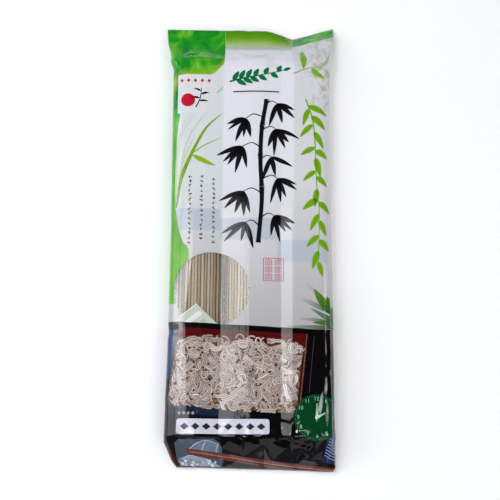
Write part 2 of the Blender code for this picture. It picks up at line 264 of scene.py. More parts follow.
def fold_line(across, along, start, end, left, right):
    """Height, from 0 to 1, of a straight fold whose two flanks may differ in width."""
    run, reach = Vector(end) - Vector(start), Vector((across, along)) - Vector(start)
    forward = run.normalized()
    travelled = reach.dot(forward)
    beyond = max(0.0, -travelled, travelled - run.length)
    aside = forward.x * reach.y - forward.y * reach.x
    return max(0.0, 1.0 - (aside / left if aside > 0 else -aside / right) - beyond / (left + right))


def facet_triangles(corners):
    """The facets between the corners, each as three corners."""
    places = [Vector(corner[:2]) for corner in corners]
    made = geometry.delaunay_2d_cdt(places, [], [], 0, 0.001)
    return [[corners[number] for number in face] for face in made[2]]


def facet_height(triangles, across, along):
    """Height of the flat facet at a place, or 0 outside them all."""
    for (xa, ya, za), (xb, yb, zb), (xc, yc, zc) in triangles:
        area = (xb - xa) * (yc - ya) - (xc - xa) * (yb - ya)
        second = ((across - xa) * (yc - ya) - (xc - xa) * (along - ya)) / area
        third = ((xb - xa) * (along - ya) - (across - xa) * (yb - ya)) / area
        if second >= -1e-6 and third >= -1e-6 and second + third <= 1.000001:
            return za + second * (zb - za) + third * (zc - za)
    return 0.0


def ease(start, end, value):
    """0 before start and 1 after end, with a smooth turn between."""
    share = min(1.0, max(0.0, (value - start) / (end - start)))
    return share * share * (3.0 - 2.0 * share)


HALF = Vector((0.5, 0.5, 0.5))


def crumple(x, y, size, seed):
    """Height, from -1 to 1, of film that has creased into flat facets of about this size.
    Random heights stand on a lattice of triangles, with straight slopes between them."""
    warp = noise.noise_vector(Vector((x, y, 17.0 * seed)) / (3.0 * size))
    u, v = x / size + 0.35 * warp.x, y / size + 0.35 * warp.y
    skew = 0.366 * (u + v)
    u, v = u + skew, v + skew
    i, j = math.floor(u), math.floor(v)
    a, b = u - i, v - j
    first, far = noise.cell(Vector((i, j, seed)) + HALF), noise.cell(Vector((i + 1, j + 1, seed)) + HALF)
    if a > b:
        side = noise.cell(Vector((i + 1, j, seed)) + HALF)
        height = (1 - a) * first + (a - b) * side + b * far
    else:
        side = noise.cell(Vector((i, j + 1, seed)) + HALF)
        height = (1 - b) * first + (b - a) * side + a * far
    return 2.0 * height - 1.0


def crumpled(x, y, layers):
    """Height of several layers of crumpling together."""
    return sum(height * crumple(x, y, size, seed) for height, size, seed in layers)


def section(across, thickness):
    """Place and outward direction on the front half of a tube section, flat with round sides. The girth is
    fixed, so a thick section is narrow."""
    radius = thickness / 2
    flat_half = HALF_FLAT - math.pi * thickness / 4
    angle = max(0.0, (abs(across) - flat_half) / radius)
    x = math.copysign(min(abs(across), flat_half) + radius * math.sin(angle), across)
    normal = Vector((math.copysign(math.sin(angle), across), 0.0, math.cos(angle)))
    return x, radius * math.cos(angle), normal


def end_share(along):
    """0 over the noodles, rising to 1 at either seal."""
    if along > TAPER_TOP:
        return min(1.0, (along - TAPER_TOP) / (SEAL_START - TAPER_TOP))
    return max(0.0, (TAPER_BOTTOM - along) / (TAPER_BOTTOM - FOLD_EDGE))


FOOT_TRIANGLES = facet_triangles(FOOT_FACETS)


def wrinkles(across, along):
    """Creases of the front that are too fine for the solids."""
    side = ease(40.0, 46.0, abs(across))
    over_ends = ease(CREASED_FOOT, -122.0, along)
    foot = ease(-124.0, -131.0, along) * (1.0 - 0.8 * ease(-140.0, -144.5, along))
    top = ease(108.0, 122.0, along)
    height = over_ends * crumpled(across, along, CRUMPLED_ENDS)
    height += foot * (0.06 + 0.3 * ease(24.0, 32.0, across)) * crumple(across, along, 4.0, 12)
    if along < FOOT_FACETS_START:
        height += facet_height(FOOT_TRIANGLES, across, along)
    for start, end, left, right, tall in FOLDS:
        height += tall * fold_line(across, along, start, end, left, right)
    height += top * crumpled(across, along, CRUMPLED_HEAD)
    height += FULL_HEAD_HEIGHT * math.exp(-(((along - FULL_HEAD) / FULL_HEAD_REACH) ** 2))
    height *= 1.0 - 0.5 * side
    # Left of its crease the front leans to the left.
    crease = between(LEFT_CREASE, along)
    lean = LEFT_CREASE_SLOPE * max(0.0, crease - max(across, -46.5))
    height -= lean * (1.0 - ease(-46.5, -54.0, across)) * (1.0 - end_share(along))
    # The fold on the right runs from below the middle to the foot, with a notch on its way.
    notch = 1.0 - 0.8 * ridge(along + 88.0, 2.5)
    along_fold = ease(-18.0, -24.0, along) * ease(-146.0, -130.0, along) * notch
    crest = across - EDGE_FOLD - 0.4 * noise.noise(Vector((0.0, along / 12.0, 2.0)))
    fold = ridge(crest, EDGE_FOLD_LEFT if crest < 0 else EDGE_FOLD_RIGHT)
    height += along_fold * fold * (EDGE_FOLD_HEIGHT + 0.15 * crumple(across, along, 5.0, 7))
    # A little unevenness everywhere
    height += 0.045 * noise.noise(Vector((across / 7.0, along / 45.0, 9.0)))
    return height


def front_relief(across, along):
    """How far the front stands above its plain section."""
    ends = end_share(along)
    relief = -between(FRONT_SAG_ACROSS, across) * (1.0 - ends)
    gathers = TOP_GATHERS if along > 0 else BOTTOM_GATHERS
    strength = math.sin(math.pi * min(1.0, ends / GATHERS_END)) * (1.0 if along > 0 else BOTTOM_GATHERS_SHARE)
    relief += strength * sum(height * ridge(across - place, half) for place, half, height in gathers)
    return relief + wrinkles(across, along)


def back_relief(across, along):
    """How far the back stands out of its plain section."""
    ends = end_share(along)
    relief = -between(BACK_LIFT_ACROSS, across) * (1.0 - ends)
    if along <= TUCKED_STRIP_END:
        relief += TUCKED_STRIP_THICKNESS * ridge(max(0.0, abs(across) - 48.0), 6.0)
    # Where the sheets are welded they crease together, so the back goes in as the front comes out.
    welded = 1.0 - ease(0.8, 5.0, between(THICKNESS_ALONG, along))
    slack = 0.12 * (1.0 - welded) * abs(crumple(across, along, 9.0, 8))
    return relief - welded * wrinkles(across, along) - slack


def middle_height(across, along):
    """Height of the tube's middle: half the pack over the noodles, and lower at the fold and the seal."""
    over_noodles = PACK_THICKNESS / 2
    if along > SEAL_START:
        share = (along - SEAL_START) / (SEAL_END - SEAL_START)
        edge = between(SEAL_END_HEIGHT_ACROSS, across)
        return SEAL_START_HEIGHT + (edge - SEAL_START_HEIGHT) * share
    end_height = SEAL_START_HEIGHT if along > 0 else FOLD_HEIGHT
    return over_noodles + (end_height - over_noodles) * end_share(along)


def place_along(across, along):
    """Y of a place on the film: neither the bottom fold nor the top seal runs square across."""
    if along < TAPER_BOTTOM:
        share = (TAPER_BOTTOM - along) / (TAPER_BOTTOM - FOLD_EDGE)
        return TAPER_BOTTOM + (between(FOLD_EDGE_ACROSS, across) - TAPER_BOTTOM) * share
    if along <= TAPER_TOP:
        return along
    start = between(SEAL_START_ACROSS, across)
    if along <= SEAL_START:
        return TAPER_TOP + (start - TAPER_TOP) * (along - TAPER_TOP) / (SEAL_START - TAPER_TOP)
    end = between(SEAL_END_ACROSS, across)
    return start + (end - start) * (along - SEAL_START) / (SEAL_END - SEAL_START)


def film_point(across, along, side):
    """A point of the film. side is 1 on the front and -1 on the back."""
    thickness = between(THICKNESS_ALONG, along)
    x, height, normal = section(across, thickness)
    edge = between(LEFT_EDGE if across < 0 else RIGHT_EDGE, along)
    x *= edge / section(HALF_FLAT, thickness)[0]
    relief = (front_relief if side > 0 else back_relief)(across, along)
    z = middle_height(across, along) + side * (height + relief * normal.z)
    return Vector((x + relief * normal.x, place_along(across, along), min(max(z, 0.0), HIGHEST)))


def whole(shape):
    """All parts of a shape."""
    return shape.verts[:] + shape.edges[:] + shape.faces[:]


def parts_of(faces):
    """The faces with their corners and edges."""
    return list({part for face in faces for part in (*face.verts, *face.edges, face)})


def cut_along(shape, parts, point, outward, **options):
    """Cuts parts of a shape along a plane."""
    bmesh.ops.bisect_plane(shape, geom=parts, plane_co=point, plane_no=outward, dist=CUT_REACH, **options)


def add_shape(shape, drawn):
    """Adds a drawn shape, with its painted points, to another."""
    mesh = bpy.data.meshes.new("drawn")
    drawn.to_mesh(mesh)
    drawn.free()
    shape.from_mesh(mesh)
    bpy.data.meshes.remove(mesh)


def in_frame(name, shape, material):
    """The finished piece for a shape in pack coordinates, moved into the frame and riding on the part."""
    mesh = bpy.data.meshes.new(name)
    shape.to_mesh(mesh)
    shape.free()
    mesh.transform(TO_FRAME)
    mesh.materials.append(material)
    mesh.shade_smooth()
    piece = bpy.data.objects.new(name, mesh)
    bpy.context.scene.collection.objects.link(piece)
    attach(piece, "root")
    return piece


# Materials


def linear(colour):
    """Linear RGBA of an sRGB hex colour. A colour that is linear already stays as it is."""
    if not isinstance(colour, str):
        return list(colour)
    values = [int(colour[place : place + 2], 16) / 255 for place in (1, 3, 5)]
    return [v / 12.92 if v <= 0.04045 else ((v + 0.055) / 1.055) ** 2.4 for v in values] + [1.0]


def add_node(tree, kind, *values, output=0, stops=(), **settings):
    """The output of a new node with its settings. The values are linked or set to its inputs in order, or by
    name where a dictionary gives them. The stops of a Color Ramp are (place, hex colour)."""
    made = tree.nodes.new("ShaderNode" + kind)
    for name, value in settings.items():
        setattr(made, name, value)
    named = values[0] if values and isinstance(values[0], dict) else dict(enumerate(values))
    for key, value in named.items():
        if isinstance(value, bpy.types.NodeSocket):
            tree.links.new(value, made.inputs[key])
        else:
            made.inputs[key].default_value = linear(value) if isinstance(value, str) else value
    if stops:
        elements = made.color_ramp.elements
        while len(elements) > 1:
            elements.remove(elements[-1])
        for number, (place, colour) in enumerate(stops):
            element = elements[0] if number == 0 else elements.new(place)
            element.position = place
            element.color = linear(colour)
    return made.outputs[output] if made.outputs else None


def new_material(name):
    """An empty material and its node tree."""
    material = bpy.data.materials.new(name)
    material.use_nodes = True
    material.node_tree.nodes.clear()
    return material, material.node_tree


def paint(tree, colour, *layers):
    """The colour with each layer laid over it in turn: (where it lies, how strongly, its colour)."""
    for share, strength, over in layers:
        if strength < 1.0:
            share = add_node(tree, "Math", share, strength, operation="MULTIPLY")
        colour = add_node(tree, "Mix", {0: share, 6: colour, 7: over}, data_type="RGBA", output=2)
    return colour


def past_line(tree, place, start, end, soft):
    """1 on the left of the line from start to end, in film millimetres, and 0 on its right."""
    run = (Vector(end) - Vector(start)).normalized()
    left = Vector((-run.y, run.x, 0.0))
    reach = add_node(tree, "VectorMath", place, left, operation="DOT_PRODUCT", output="Value")
    offset = 0.5 - left.xy.dot(Vector(start)) / soft
    return add_node(tree, "Math", reach, 1 / soft, offset, operation="MULTIPLY_ADD", use_clamp=True)


def left_of(tree, place, across, soft):
    """1 on the left of a place across the film."""
    return past_line(tree, place, (across, 0.0), (across, 1.0), soft)


def above(tree, place, along, soft):
    """1 above a place along the film."""
    return past_line(tree, place, (0.0, along), (1.0, along), soft)


def inside(tree, place, corners, soft):
    """1 inside a convex outline whose corners run anticlockwise."""
    sides = [past_line(tree, place, *side, soft) for side in zip(corners, corners[1:] + corners[:1])]
    share = sides[0]
    for side in sides[1:]:
        share = add_node(tree, "Math", share, side, operation="MINIMUM")
    return share


def box(left, bottom, right, top):
    """Corners of a box, anticlockwise."""
    return [(left, bottom), (right, bottom), (right, top), (left, top)]


def curve_of(tree, value, low, high, knots):
    """A smooth curve through (place, value) knots, whose values run from low to high."""
    (start, first), (end, last) = knots[0], knots[-1]
    gain = 1 / (end - start)
    scaled = add_node(tree, "Math", value, gain, -start * gain, operation="MULTIPLY_ADD", use_clamp=True)
    curve = add_node(tree, "FloatCurve", {"Value": scaled})
    mapping = curve.node.mapping
    points = mapping.curves[0].points
    for place, height in knots[1:-1]:
        points.new((place - start) / (end - start), (height - low) / (high - low))
    points[0].location = (0.0, (first - low) / (high - low))
    points[-1].location = (1.0, (last - low) / (high - low))
    mapping.update()
    return add_node(tree, "Math", curve, high - low, low, operation="MULTIPLY_ADD")


def drawn_streaks(tree, uv):
    """Fine streaks along the film, where it is drawn tight over the noodles."""
    drawn = add_node(tree, "Mapping", {"Vector": uv, "Scale": (0.62, 0.012, 1.0)})
    return add_node(tree, "TexNoise", {"Vector": drawn, "Scale": 1.0, "Detail": 2.0})


def film_surface(tree, uv, colour):
    """Biaxially stretched polypropylene over ink: a hard clear shine, with fine streaks and dimples."""
    dimple = add_node(tree, "TexNoise", {"Vector": uv, "Scale": 0.28, "Detail": 3.0})
    height = add_node(tree, "Math", drawn_streaks(tree, uv), 1.4, dimple, operation="MULTIPLY_ADD")
    bump = add_node(tree, "Bump", {"Height": height, "Strength": 1.0, "Distance": 0.03 * MM})
    gloss = {"Base Color": colour, "Roughness": 0.1, "IOR": 1.5, "Normal": bump}
    add_node(tree, "OutputMaterial", add_node(tree, "BsdfPrincipled", gloss))


def watercolour(tree, uv):
    """Greens of a tea field brushed in wet paint: long dabs, darker pools and yellow lights."""
    bent = add_node(tree, "Mapping", {"Vector": uv, "Rotation": (0, 0, 0.5), "Scale": (0.075, 0.045, 1)})
    pools = add_node(tree, "TexNoise", {"Vector": bent, "Scale": 1.0, "Detail": 5.0, "Distortion": 1.2})
    greens = [(0.3, "#07602E"), (0.4, "#0C7C28"), (0.48, "#168A1C"), (0.56, "#2E9A20"), (0.66, "#62B02A")]
    tone = add_node(tree, "ValToRGB", pools, stops=greens + [(0.8, "#A0C640")])
    fine = add_node(tree, "TexNoise", {"Vector": uv, "Scale": 0.55, "Detail": 4.0, "Distortion": 0.8})
    dabs = add_node(tree, "Math", fine, 4.0, -2.15, operation="MULTIPLY_ADD", use_clamp=True)
    return paint(tree, tone, (dabs, 0.4, "#4CB030"))


def printed_film_material():
    """Reverse-printed laminate: inks behind glossy polypropylene, white where nothing is printed."""
    material, tree = new_material("reverse_printed_polypropylene_laminate")
    uv = add_node(tree, "UVMap", uv_map="film")
    across, along = add_node(tree, "SeparateXYZ", uv).node.outputs[:2]

    # White ink, a shade cooler down the middle panel, with painted shade that greys it towards the tray,
    # where less light falls
    side = add_node(tree, "Math", across, 0.05, 0.5, operation="MULTIPLY_ADD", use_clamp=True)
    wash = add_node(tree, "TexNoise", {"Vector": uv, "Scale": 0.05, "Detail": 3.0})
    panel = inside(tree, uv, box(-18.0, -FAR, 27.4, FAR), 0.8)
    # Painted shade: the white darkens towards the tray
    low = add_node(tree, "Math", along, -0.0105, 0.35, operation="MULTIPLY_ADD", use_clamp=True)
    colour = paint(tree, "#CDD1D2", (side, 1.0, "#CBCBCD"), (wash, 0.3, "#DADCE0"))
    colour = paint(tree, colour, (panel, 1.0, "#D8D9DE"), (low, 0.9, "#A6A3A3"))
    # The paper bands round the bundles show faintly through it, and a grey wash lies in the top right corner
    for band in PAPER_BANDS:
        colour = paint(tree, colour, (inside(tree, uv, box(*band), 0.9), 0.55, "#A3AFBF"))
    stone = add_node(tree, "TexNoise", {"Vector": uv, "Scale": 0.19, "Detail": 6.0, "Distortion": 0.6})
    stain = add_node(tree, "Math", stone, 5.0, -2.4, operation="MULTIPLY_ADD", use_clamp=True)
    corner = [(30.0, 150.0), (30.0, 122.0), (40.0, 86.0), (62.0, 84.0), (62.0, 150.0)]
    stained = add_node(tree, "Math", stain, inside(tree, uv, corner, 9.0), operation="MULTIPLY")
    colour = paint(tree, colour, (stained, 0.8, "#9C9C84"))

    # Green field: over the top left, down the left edge in a narrow strip, and across the seal on the right
    ragged = add_node(tree, "TexNoise", {"Vector": uv, "Scale": 0.22, "Detail": 4.0})
    shake = add_node(tree, "Math", ragged, 3.0, -1.5, operation="MULTIPLY_ADD")
    shaken = add_node(tree, "Math", along, shake, operation="ADD")
    foot = curve_of(tree, across, 90.0, 130.0, GREEN_FIELD_FOOT)
    over_foot = add_node(tree, "Math", shaken, foot, operation="SUBTRACT")
    field = add_node(tree, "Math", over_foot, 1.4, operation="MULTIPLY", use_clamp=True)
    field = add_node(tree, "Math", field, left_of(tree, uv, -18.2, 0.4), operation="MULTIPLY")
    strip_edge = curve_of(tree, along, -52.0, -32.0, GREEN_STRIP_EDGE)
    strip = add_node(tree, "Math", strip_edge, across, operation="SUBTRACT")
    strip = add_node(tree, "Math", strip, 3.0, operation="MULTIPLY", use_clamp=True)
    strip = add_node(tree, "Math", strip, above(tree, uv, -46.0, 0.5), operation="MULTIPLY")
    cap = inside(tree, uv, box(27.5, 133.6, FAR, FAR), 1.6)
    round_edge = [above(tree, uv, 112.0, 1.0), left_of(tree, uv, -56.0, 1.0)]
    round_edge = add_node(tree, "Math", *round_edge, operation="MULTIPLY")
    fields = field
    for share in (strip, cap, round_edge):
        fields = add_node(tree, "Math", fields, share, operation="MAXIMUM")
    # The green is yellower low in the strip and at the field's foot
    low_strip = add_node(tree, "Math", along, -0.011, 0.8, operation="MULTIPLY_ADD", use_clamp=True)
    low_strip = add_node(tree, "Math", low_strip, strip, operation="MULTIPLY")
    light_foot = add_node(tree, "Math", over_foot, -0.16, 1.0, operation="MULTIPLY_ADD", use_clamp=True)
    light_foot = add_node(tree, "Math", light_foot, above(tree, uv, 100.0, 8.0), operation="MULTIPLY")
    green = paint(tree, watercolour(tree, uv), (low_strip, 0.8, "#64A80C"), (light_foot, 0.75, "#9DB626"))
    colour = paint(tree, colour, (fields, 1.0, green))

    # Middle of the top seal: green that fades into grey and then into the panel
    fade = add_node(tree, "Math", shake, 0.4, along, operation="MULTIPLY_ADD")
    fade = add_node(tree, "Math", fade, 0.07, -9.06, operation="MULTIPLY_ADD", use_clamp=True)
    greys = [(0.0, "#C8CCCE"), (0.18, "#AEB8AC"), (0.45, "#93AE62"), (0.72, "#62991C"), (1.0, "#4C8A10")]
    seal = add_node(tree, "ValToRGB", fade, stops=greys)
    shown = add_node(tree, "Math", fade, 12.0, operation="MULTIPLY", use_clamp=True)
    middle = inside(tree, uv, box(-18.2, 100.0, 27.5, FAR), 0.4)
    shown = add_node(tree, "Math", middle, shown, operation="MULTIPLY")
    colour = paint(tree, colour, (shown, 1.0, seal))

    # Lacquered tray: black to the bottom, a maroon inside, and shade under the noodles, with two painted
    # reflections: blue down the left edge beside the tray, and a faint bluish sheen on the black below the
    # heap
    tray = past_line(tree, uv, TRAY_EDGE_RIGHT, TRAY_EDGE_LEFT, 0.35)
    colour = paint(tree, colour, (tray, 1.0, "#070506"))
    grain = add_node(tree, "TexNoise", {"Vector": uv, "Scale": 0.42, "Detail": 3.0})
    browns = [(0.35, "#38221C"), (0.5, "#6A4C3C"), (0.62, "#84705A"), (0.75, "#9A8878")]
    shade = add_node(tree, "ValToRGB", grain, stops=browns)
    under_noodles = past_line(tree, uv, (40.0, -73.0), (-60.0, -69.0), 4.0)
    inside_tray = paint(tree, "#4E0A0C", (under_noodles, 1.0, shade))
    for corners, soft, strength, over in [
        # Painted reflection: the blue of the sky on the pack's left side beside the tray
        ([(-62.0, -92.0), (-51.0, -92.0), (-46.6, -62.0), (-62.0, -62.0)], 0.6, 1.0, "#1F3A68"),
        ([(50.0, -68.0), (80.0, -68.0), (80.0, -44.0), (54.0, -44.0), (50.0, -54.0)], 0.9, 1.0, "#1D4420"),
        (box(49.6, -75.0, 80.0, -68.0), 0.9, 1.0, "#5A2C22"),
        ([(-51.5, -107.3), (29.8, -112.4), (35.2, -64.6), (-44.5, -60.8)], 0.35, 1.0, inside_tray),
        ([(-80.0, -145.0), (-49.5, -145.0), (-50.5, -132.0), (-80.0, -132.0)], 0.6, 1.0, "#3E0C10"),
        # Painted reflection: a faint bluish sheen on the black below the heap
        ([(-60.0, -113.0), (-8.0, -114.5), (-8.0, -109.8), (-60.0, -106.5)], 2.2, 0.5, "#26324F"),
    ]:
        colour = paint(tree, colour, (inside(tree, uv, corners, soft), strength, over))

    # The back is plain: the dark foot and the green head end a little way round
    front = inside(tree, uv, box(-72.0, -FAR, 72.0, FAR), 0.4)
    back = paint(tree, "#DCDCE0", (above(tree, uv, 133.0, 0.6), 1.0, "#2F9A2C"))
    film_surface(tree, uv, paint(tree, back, (front, 1.0, colour)))
    return material


def ink_material():
    """Gravure inks under the same gloss. Each motif's colour is painted on its points, and uneven ink
    density mottles it."""
    material, tree = new_material("gravure_ink_under_gloss_film")
    uv = add_node(tree, "UVMap", uv_map="film")
    painted = add_node(tree, "Attribute", attribute_name="ink", output="Color")
    grain = add_node(tree, "TexNoise", {"Vector": uv, "Scale": 0.9, "Detail": 4.0})
    density = add_node(tree, "Math", grain, 0.24, 0.88, operation="MULTIPLY_ADD")
    film_surface(tree, uv, add_node(tree, "VectorMath", painted, density, operation="MULTIPLY"))
    return material


def window_material():
    """Clear polypropylene: what lies behind shows through, under the shine of both its faces."""
    material, tree = new_material("clear_polypropylene_film")
    streaks = drawn_streaks(tree, add_node(tree, "UVMap", uv_map="film"))
    bump = add_node(tree, "Bump", {"Height": streaks, "Strength": 1.0, "Distance": 0.04 * MM})
    facing = add_node(tree, "Fresnel", {"IOR": 1.5, "Normal": bump})
    both_faces = add_node(tree, "Math", facing, 2.5, operation="MULTIPLY", use_clamp=True)
    clear = add_node(tree, "BsdfTransparent", {"Color": "#F8F8F6"})
    shine = add_node(tree, "BsdfGlossy", {"Color": "#FFFFFF", "Roughness": 0.14, "Normal": bump})
    add_node(tree, "OutputMaterial", add_node(tree, "MixShader", both_faces, clear, shine))
    return material


def noodle_material():
    """Dried buckwheat dough, rolled, cut and air dried: a dry matt surface with bran specks, each strand a
    little lighter or darker than the next."""
    material, tree = new_material("air_dried_buckwheat_dough")
    place = add_node(tree, "TexCoord", output="Object")
    tone = add_node(tree, "Attribute", attribute_name="tone", output="Fac")
    # The darkest tones are painted shade, on the strands' flanks, the core and the strands in the gaps
    doughs = [(0.0, "#5E4C3C"), (0.18, "#96826A"), (0.42, "#CDBBA2"), (0.7, "#E2D5C2"), (1.0, "#F2EADF")]
    base = add_node(tree, "ValToRGB", tone, stops=doughs)
    # Bran specks are about 0.3 mm long, drawn out along the strand
    stretched = add_node(tree, "Mapping", {"Vector": place, "Scale": (1.0, 0.3, 1.0)})
    specks = add_node(tree, "TexVoronoi", {"Vector": stretched, "Scale": 900.0}, output="Distance")
    speck = add_node(tree, "Math", specks, -7.0, 1.6, operation="MULTIPLY_ADD", use_clamp=True)
    cloud = add_node(tree, "TexNoise", {"Vector": stretched, "Scale": 160.0, "Detail": 4.0})
    colour = paint(tree, base, (speck, 0.42, "#5E4A36"), (cloud, 0.3, "#D8C8AC"))
    rough = add_node(tree, "TexNoise", {"Vector": stretched, "Scale": 1400.0, "Detail": 3.0})
    bump = add_node(tree, "Bump", {"Height": rough, "Strength": 0.5, "Distance": 0.08 * MM})
    dough = {"Base Color": colour, "Roughness": 0.75, "IOR": 1.45, "Normal": bump}
    add_node(tree, "OutputMaterial", add_node(tree, "BsdfPrincipled", dough))
    return material


def floor_material():
    """Matt white studio paper."""
    material, tree = new_material("matt_white_paper")
    place = add_node(tree, "TexCoord", output="Object")
    fibre = add_node(tree, "TexNoise", {"Vector": place, "Scale": 120.0, "Detail": 4.0})
    colour = paint(tree, "#F9F9F9", (fibre, 1.0, "#FCFCFC"))
    paper = add_node(tree, "BsdfPrincipled", {"Base Color": colour, "Roughness": 0.9})
    add_node(tree, "OutputMaterial", paper)
    return material


# The film


def write_film_map(shape, place_of):
    """Writes the film map, in millimetres, from film coordinates of each corner."""
    layer = shape.loops.layers.uv.new("film")
    for face in shape.faces:
        for loop in face.loops:
            loop[layer].uv = place_of(loop, face)


def film_grid():
    """Columns and rows of either sheet."""
    seam = [SEAM_LEFT - 0.3, SEAM_LEFT, SEAM_RIGHT, SEAM_RIGHT + 0.3]
    columns = spaced([-HALF_FLAT, HALF_FLAT] + [place for place, _ in FRONT_SAG_ACROSS] + seam, COLUMN_STEP)
    tuck = [FOLD_EDGE, NEAR_FOLD, TUCKED_STRIP_END, TUCKED_STRIP_END + 0.3]
    foot = spaced(tuck + [TAPER_BOTTOM, CREASED_FOOT], ROW_STEP_ENDS)
    middle = spaced([CREASED_FOOT, CREASED_HEAD], ROW_STEP_MIDDLE)
    head = spaced([CREASED_HEAD, TAPER_TOP, SEAL_START, SEAL_END], ROW_STEP_ENDS)
    return columns, sorted(set(foot + middle + head))


def sheet_points():
    """Rows of points of the front sheet and of the back sheet, which meet at their rims."""
    front, back = ([[film_point(x, y, side) for x in COLUMNS] for y in ROWS] for side in (1, -1))
    for row, (above, below) in enumerate(zip(front, back)):
        rim = range(len(COLUMNS)) if row in (0, len(ROWS) - 1) else (0, len(COLUMNS) - 1)
        for column in rim:
            above[column] = below[column] = above[column].lerp(below[column], 0.5)
    return front, back


COLUMNS, ROWS = film_grid()
FRONT_SHEET, BACK_SHEET = sheet_points()


def on_sheet(across, along, lift):
    """A point of the front sheet as it is made, flat within each square of its grid."""
    column = min(max(bisect.bisect_right(COLUMNS, across) - 1, 0), len(COLUMNS) - 2)
    row = min(max(bisect.bisect_right(ROWS, along) - 1, 0), len(ROWS) - 2)
    left, right = COLUMNS[column : column + 2]
    low, high = ROWS[row : row + 2]
    share = (across - left) / (right - left)
    below = FRONT_SHEET[row][column].lerp(FRONT_SHEET[row][column + 1], share)
    above = FRONT_SHEET[row + 1][column].lerp(FRONT_SHEET[row + 1][column + 1], share)
    outward = section(across, between(THICKNESS_ALONG, along))[2]
    return below.lerp(above, (along - low) / (high - low)) + lift * outward


def film_sheets():
    """The whole pouch: front and back sheets of one tube, joined at the sides and sealed at the ends."""
    shape = bmesh.new()
    across_layer = shape.verts.layers.float.new("across")
    along_layer = shape.verts.layers.float.new("along")
    side_layer = shape.faces.layers.int.new("side")
    for side, sheet in ((1, FRONT_SHEET), (-1, BACK_SHEET)):
        before, faces_before = set(shape.verts), set(shape.faces)
        bmesh.ops.create_grid(shape, x_segments=len(COLUMNS) - 1, y_segments=len(ROWS) - 1, size=1.0)
        for vert in set(shape.verts) - before:
            column = round((vert.co.x + 1) / 2 * (len(COLUMNS) - 1))
            row = round((vert.co.y + 1) / 2 * (len(ROWS) - 1))
            vert[across_layer], vert[along_layer] = COLUMNS[column], ROWS[row]
            vert.co = sheet[row][column]
        for face in set(shape.faces) - faces_before:
            face[side_layer] = side
    rim = [vert for vert in shape.verts if vert.is_boundary]
    bmesh.ops.remove_doubles(shape, verts=rim, dist=WELD_REACH)
    bmesh.ops.recalc_face_normals(shape, faces=shape.faces)
    if sum(face.normal.z for face in shape.faces if face[side_layer] > 0) < 0:
        bmesh.ops.reverse_faces(shape, faces=shape.faces)

    def place_of(loop, face):
        across, along = loop.vert[across_layer], loop.vert[along_layer]
        if face[side_layer] >= 0:
            return across, along
        middle = sum(vert[across_layer] for vert in face.verts) / len(face.verts)
        return (FLAT_WIDTH if middle > SEAM_MIDDLE else -FLAT_WIDTH) - across, along

    write_film_map(shape, place_of)
    return shape


def cut_window(shape):
    """Cuts the front sheet along the window's outline, and returns the faces inside it. The outline is a
    circle with its foot cut flat by the tray's edge."""
    lines = []
    for step in range(WINDOW_SIDES):
        angle = math.tau * step / WINDOW_SIDES
        outward = Vector((math.cos(angle), math.sin(angle)))
        lines.append((WINDOW_CENTRE + outward * WINDOW_RADIUS, outward, math.pi / WINDOW_SIDES))
    run = (TRAY_EDGE_RIGHT - TRAY_EDGE_LEFT).normalized()
    down = Vector((run.y, -run.x))

    def middle(face):
        return face.calc_center_median().xy - WINDOW_CENTRE

    def on_top(face):
        return face.normal.z > 0.3

    near = {face for face in shape.faces if on_top(face) and abs(middle(face).length - WINDOW_RADIUS) < 2.2}
    for point, outward, half_turn in lines:
        sector = {f for f in near if f.is_valid and middle(f).angle(outward) < half_turn + 0.05}
        before = set(shape.faces)
        cut_along(shape, parts_of(sector), point.to_3d(), outward.to_3d())
        near |= set(shape.faces) - before
    chord = {
        face
        for face in shape.faces
        if on_top(face)
        and middle(face).length < WINDOW_RADIUS + 1.5
        and abs((face.calc_center_median().xy - TRAY_EDGE_LEFT).dot(down)) < 2.0
    }
    cut_along(shape, parts_of(chord), TRAY_EDGE_LEFT.to_3d(), down.to_3d())

    def is_inside(face):
        place = face.calc_center_median().xy
        if not on_top(face) or (place - TRAY_EDGE_LEFT).dot(down) > 0:
            return False
        return all((place - point).dot(outward) < 0 for point, outward, _ in lines)

    return [face for face in shape.faces if is_inside(face)]


def build_film(printed, clear):
    """The printed pouch and, as a piece of its own, the clear film of its window."""
    shape = film_sheets()
    for face in cut_window(shape):
        face.select_set(True)
    shape.faces.ensure_lookup_table()
    window = shape.copy()
    bmesh.ops.delete(shape, geom=[face for face in shape.faces if face.select], context="FACES")
    bmesh.ops.delete(window, geom=[face for face in window.faces if not face.select], context="FACES")
    pouch = in_frame("printed_pouch", shape, printed)
    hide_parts("film_bag")
    pane = in_frame("window_film", window, clear)


# The noodles


def bundle_section(depth, angle):
    """A point on the rounded oblong that lies this deep in a bundle's section."""
    half_width, half_height = BUNDLE_WIDTH / 2 - depth, BUNDLE_THICKNESS / 2 - depth
    power = 2 / BUNDLE_SQUARENESS
    cosine, sine = math.cos(angle), math.sin(angle)
    return Vector(
        (
            math.copysign(half_width * abs(cosine) ** power, cosine),
            0.0,
            math.copysign(half_height * abs(sine) ** power, sine),
        )
    )


def layer_places(depth, pitch):
    """Point and outward direction of each strand in the layer that lies this deep in a bundle."""
    outline = [bundle_section(depth, math.tau * step / OUTLINE_STEPS) for step in range(OUTLINE_STEPS + 1)]
    girth = sum((end - start).length for start, end in zip(outline, outline[1:]))
    count = int(girth / pitch)
    places, travelled, due = [], 0.0, 0.0
    for start, end in zip(outline, outline[1:]):
        travelled += (end - start).length
        if travelled >= due and len(places) < count:
            tangent = (end - start).normalized()
            places.append((end, Vector((tangent.z, 0.0, -tangent.x))))
            due += girth / count
    return places


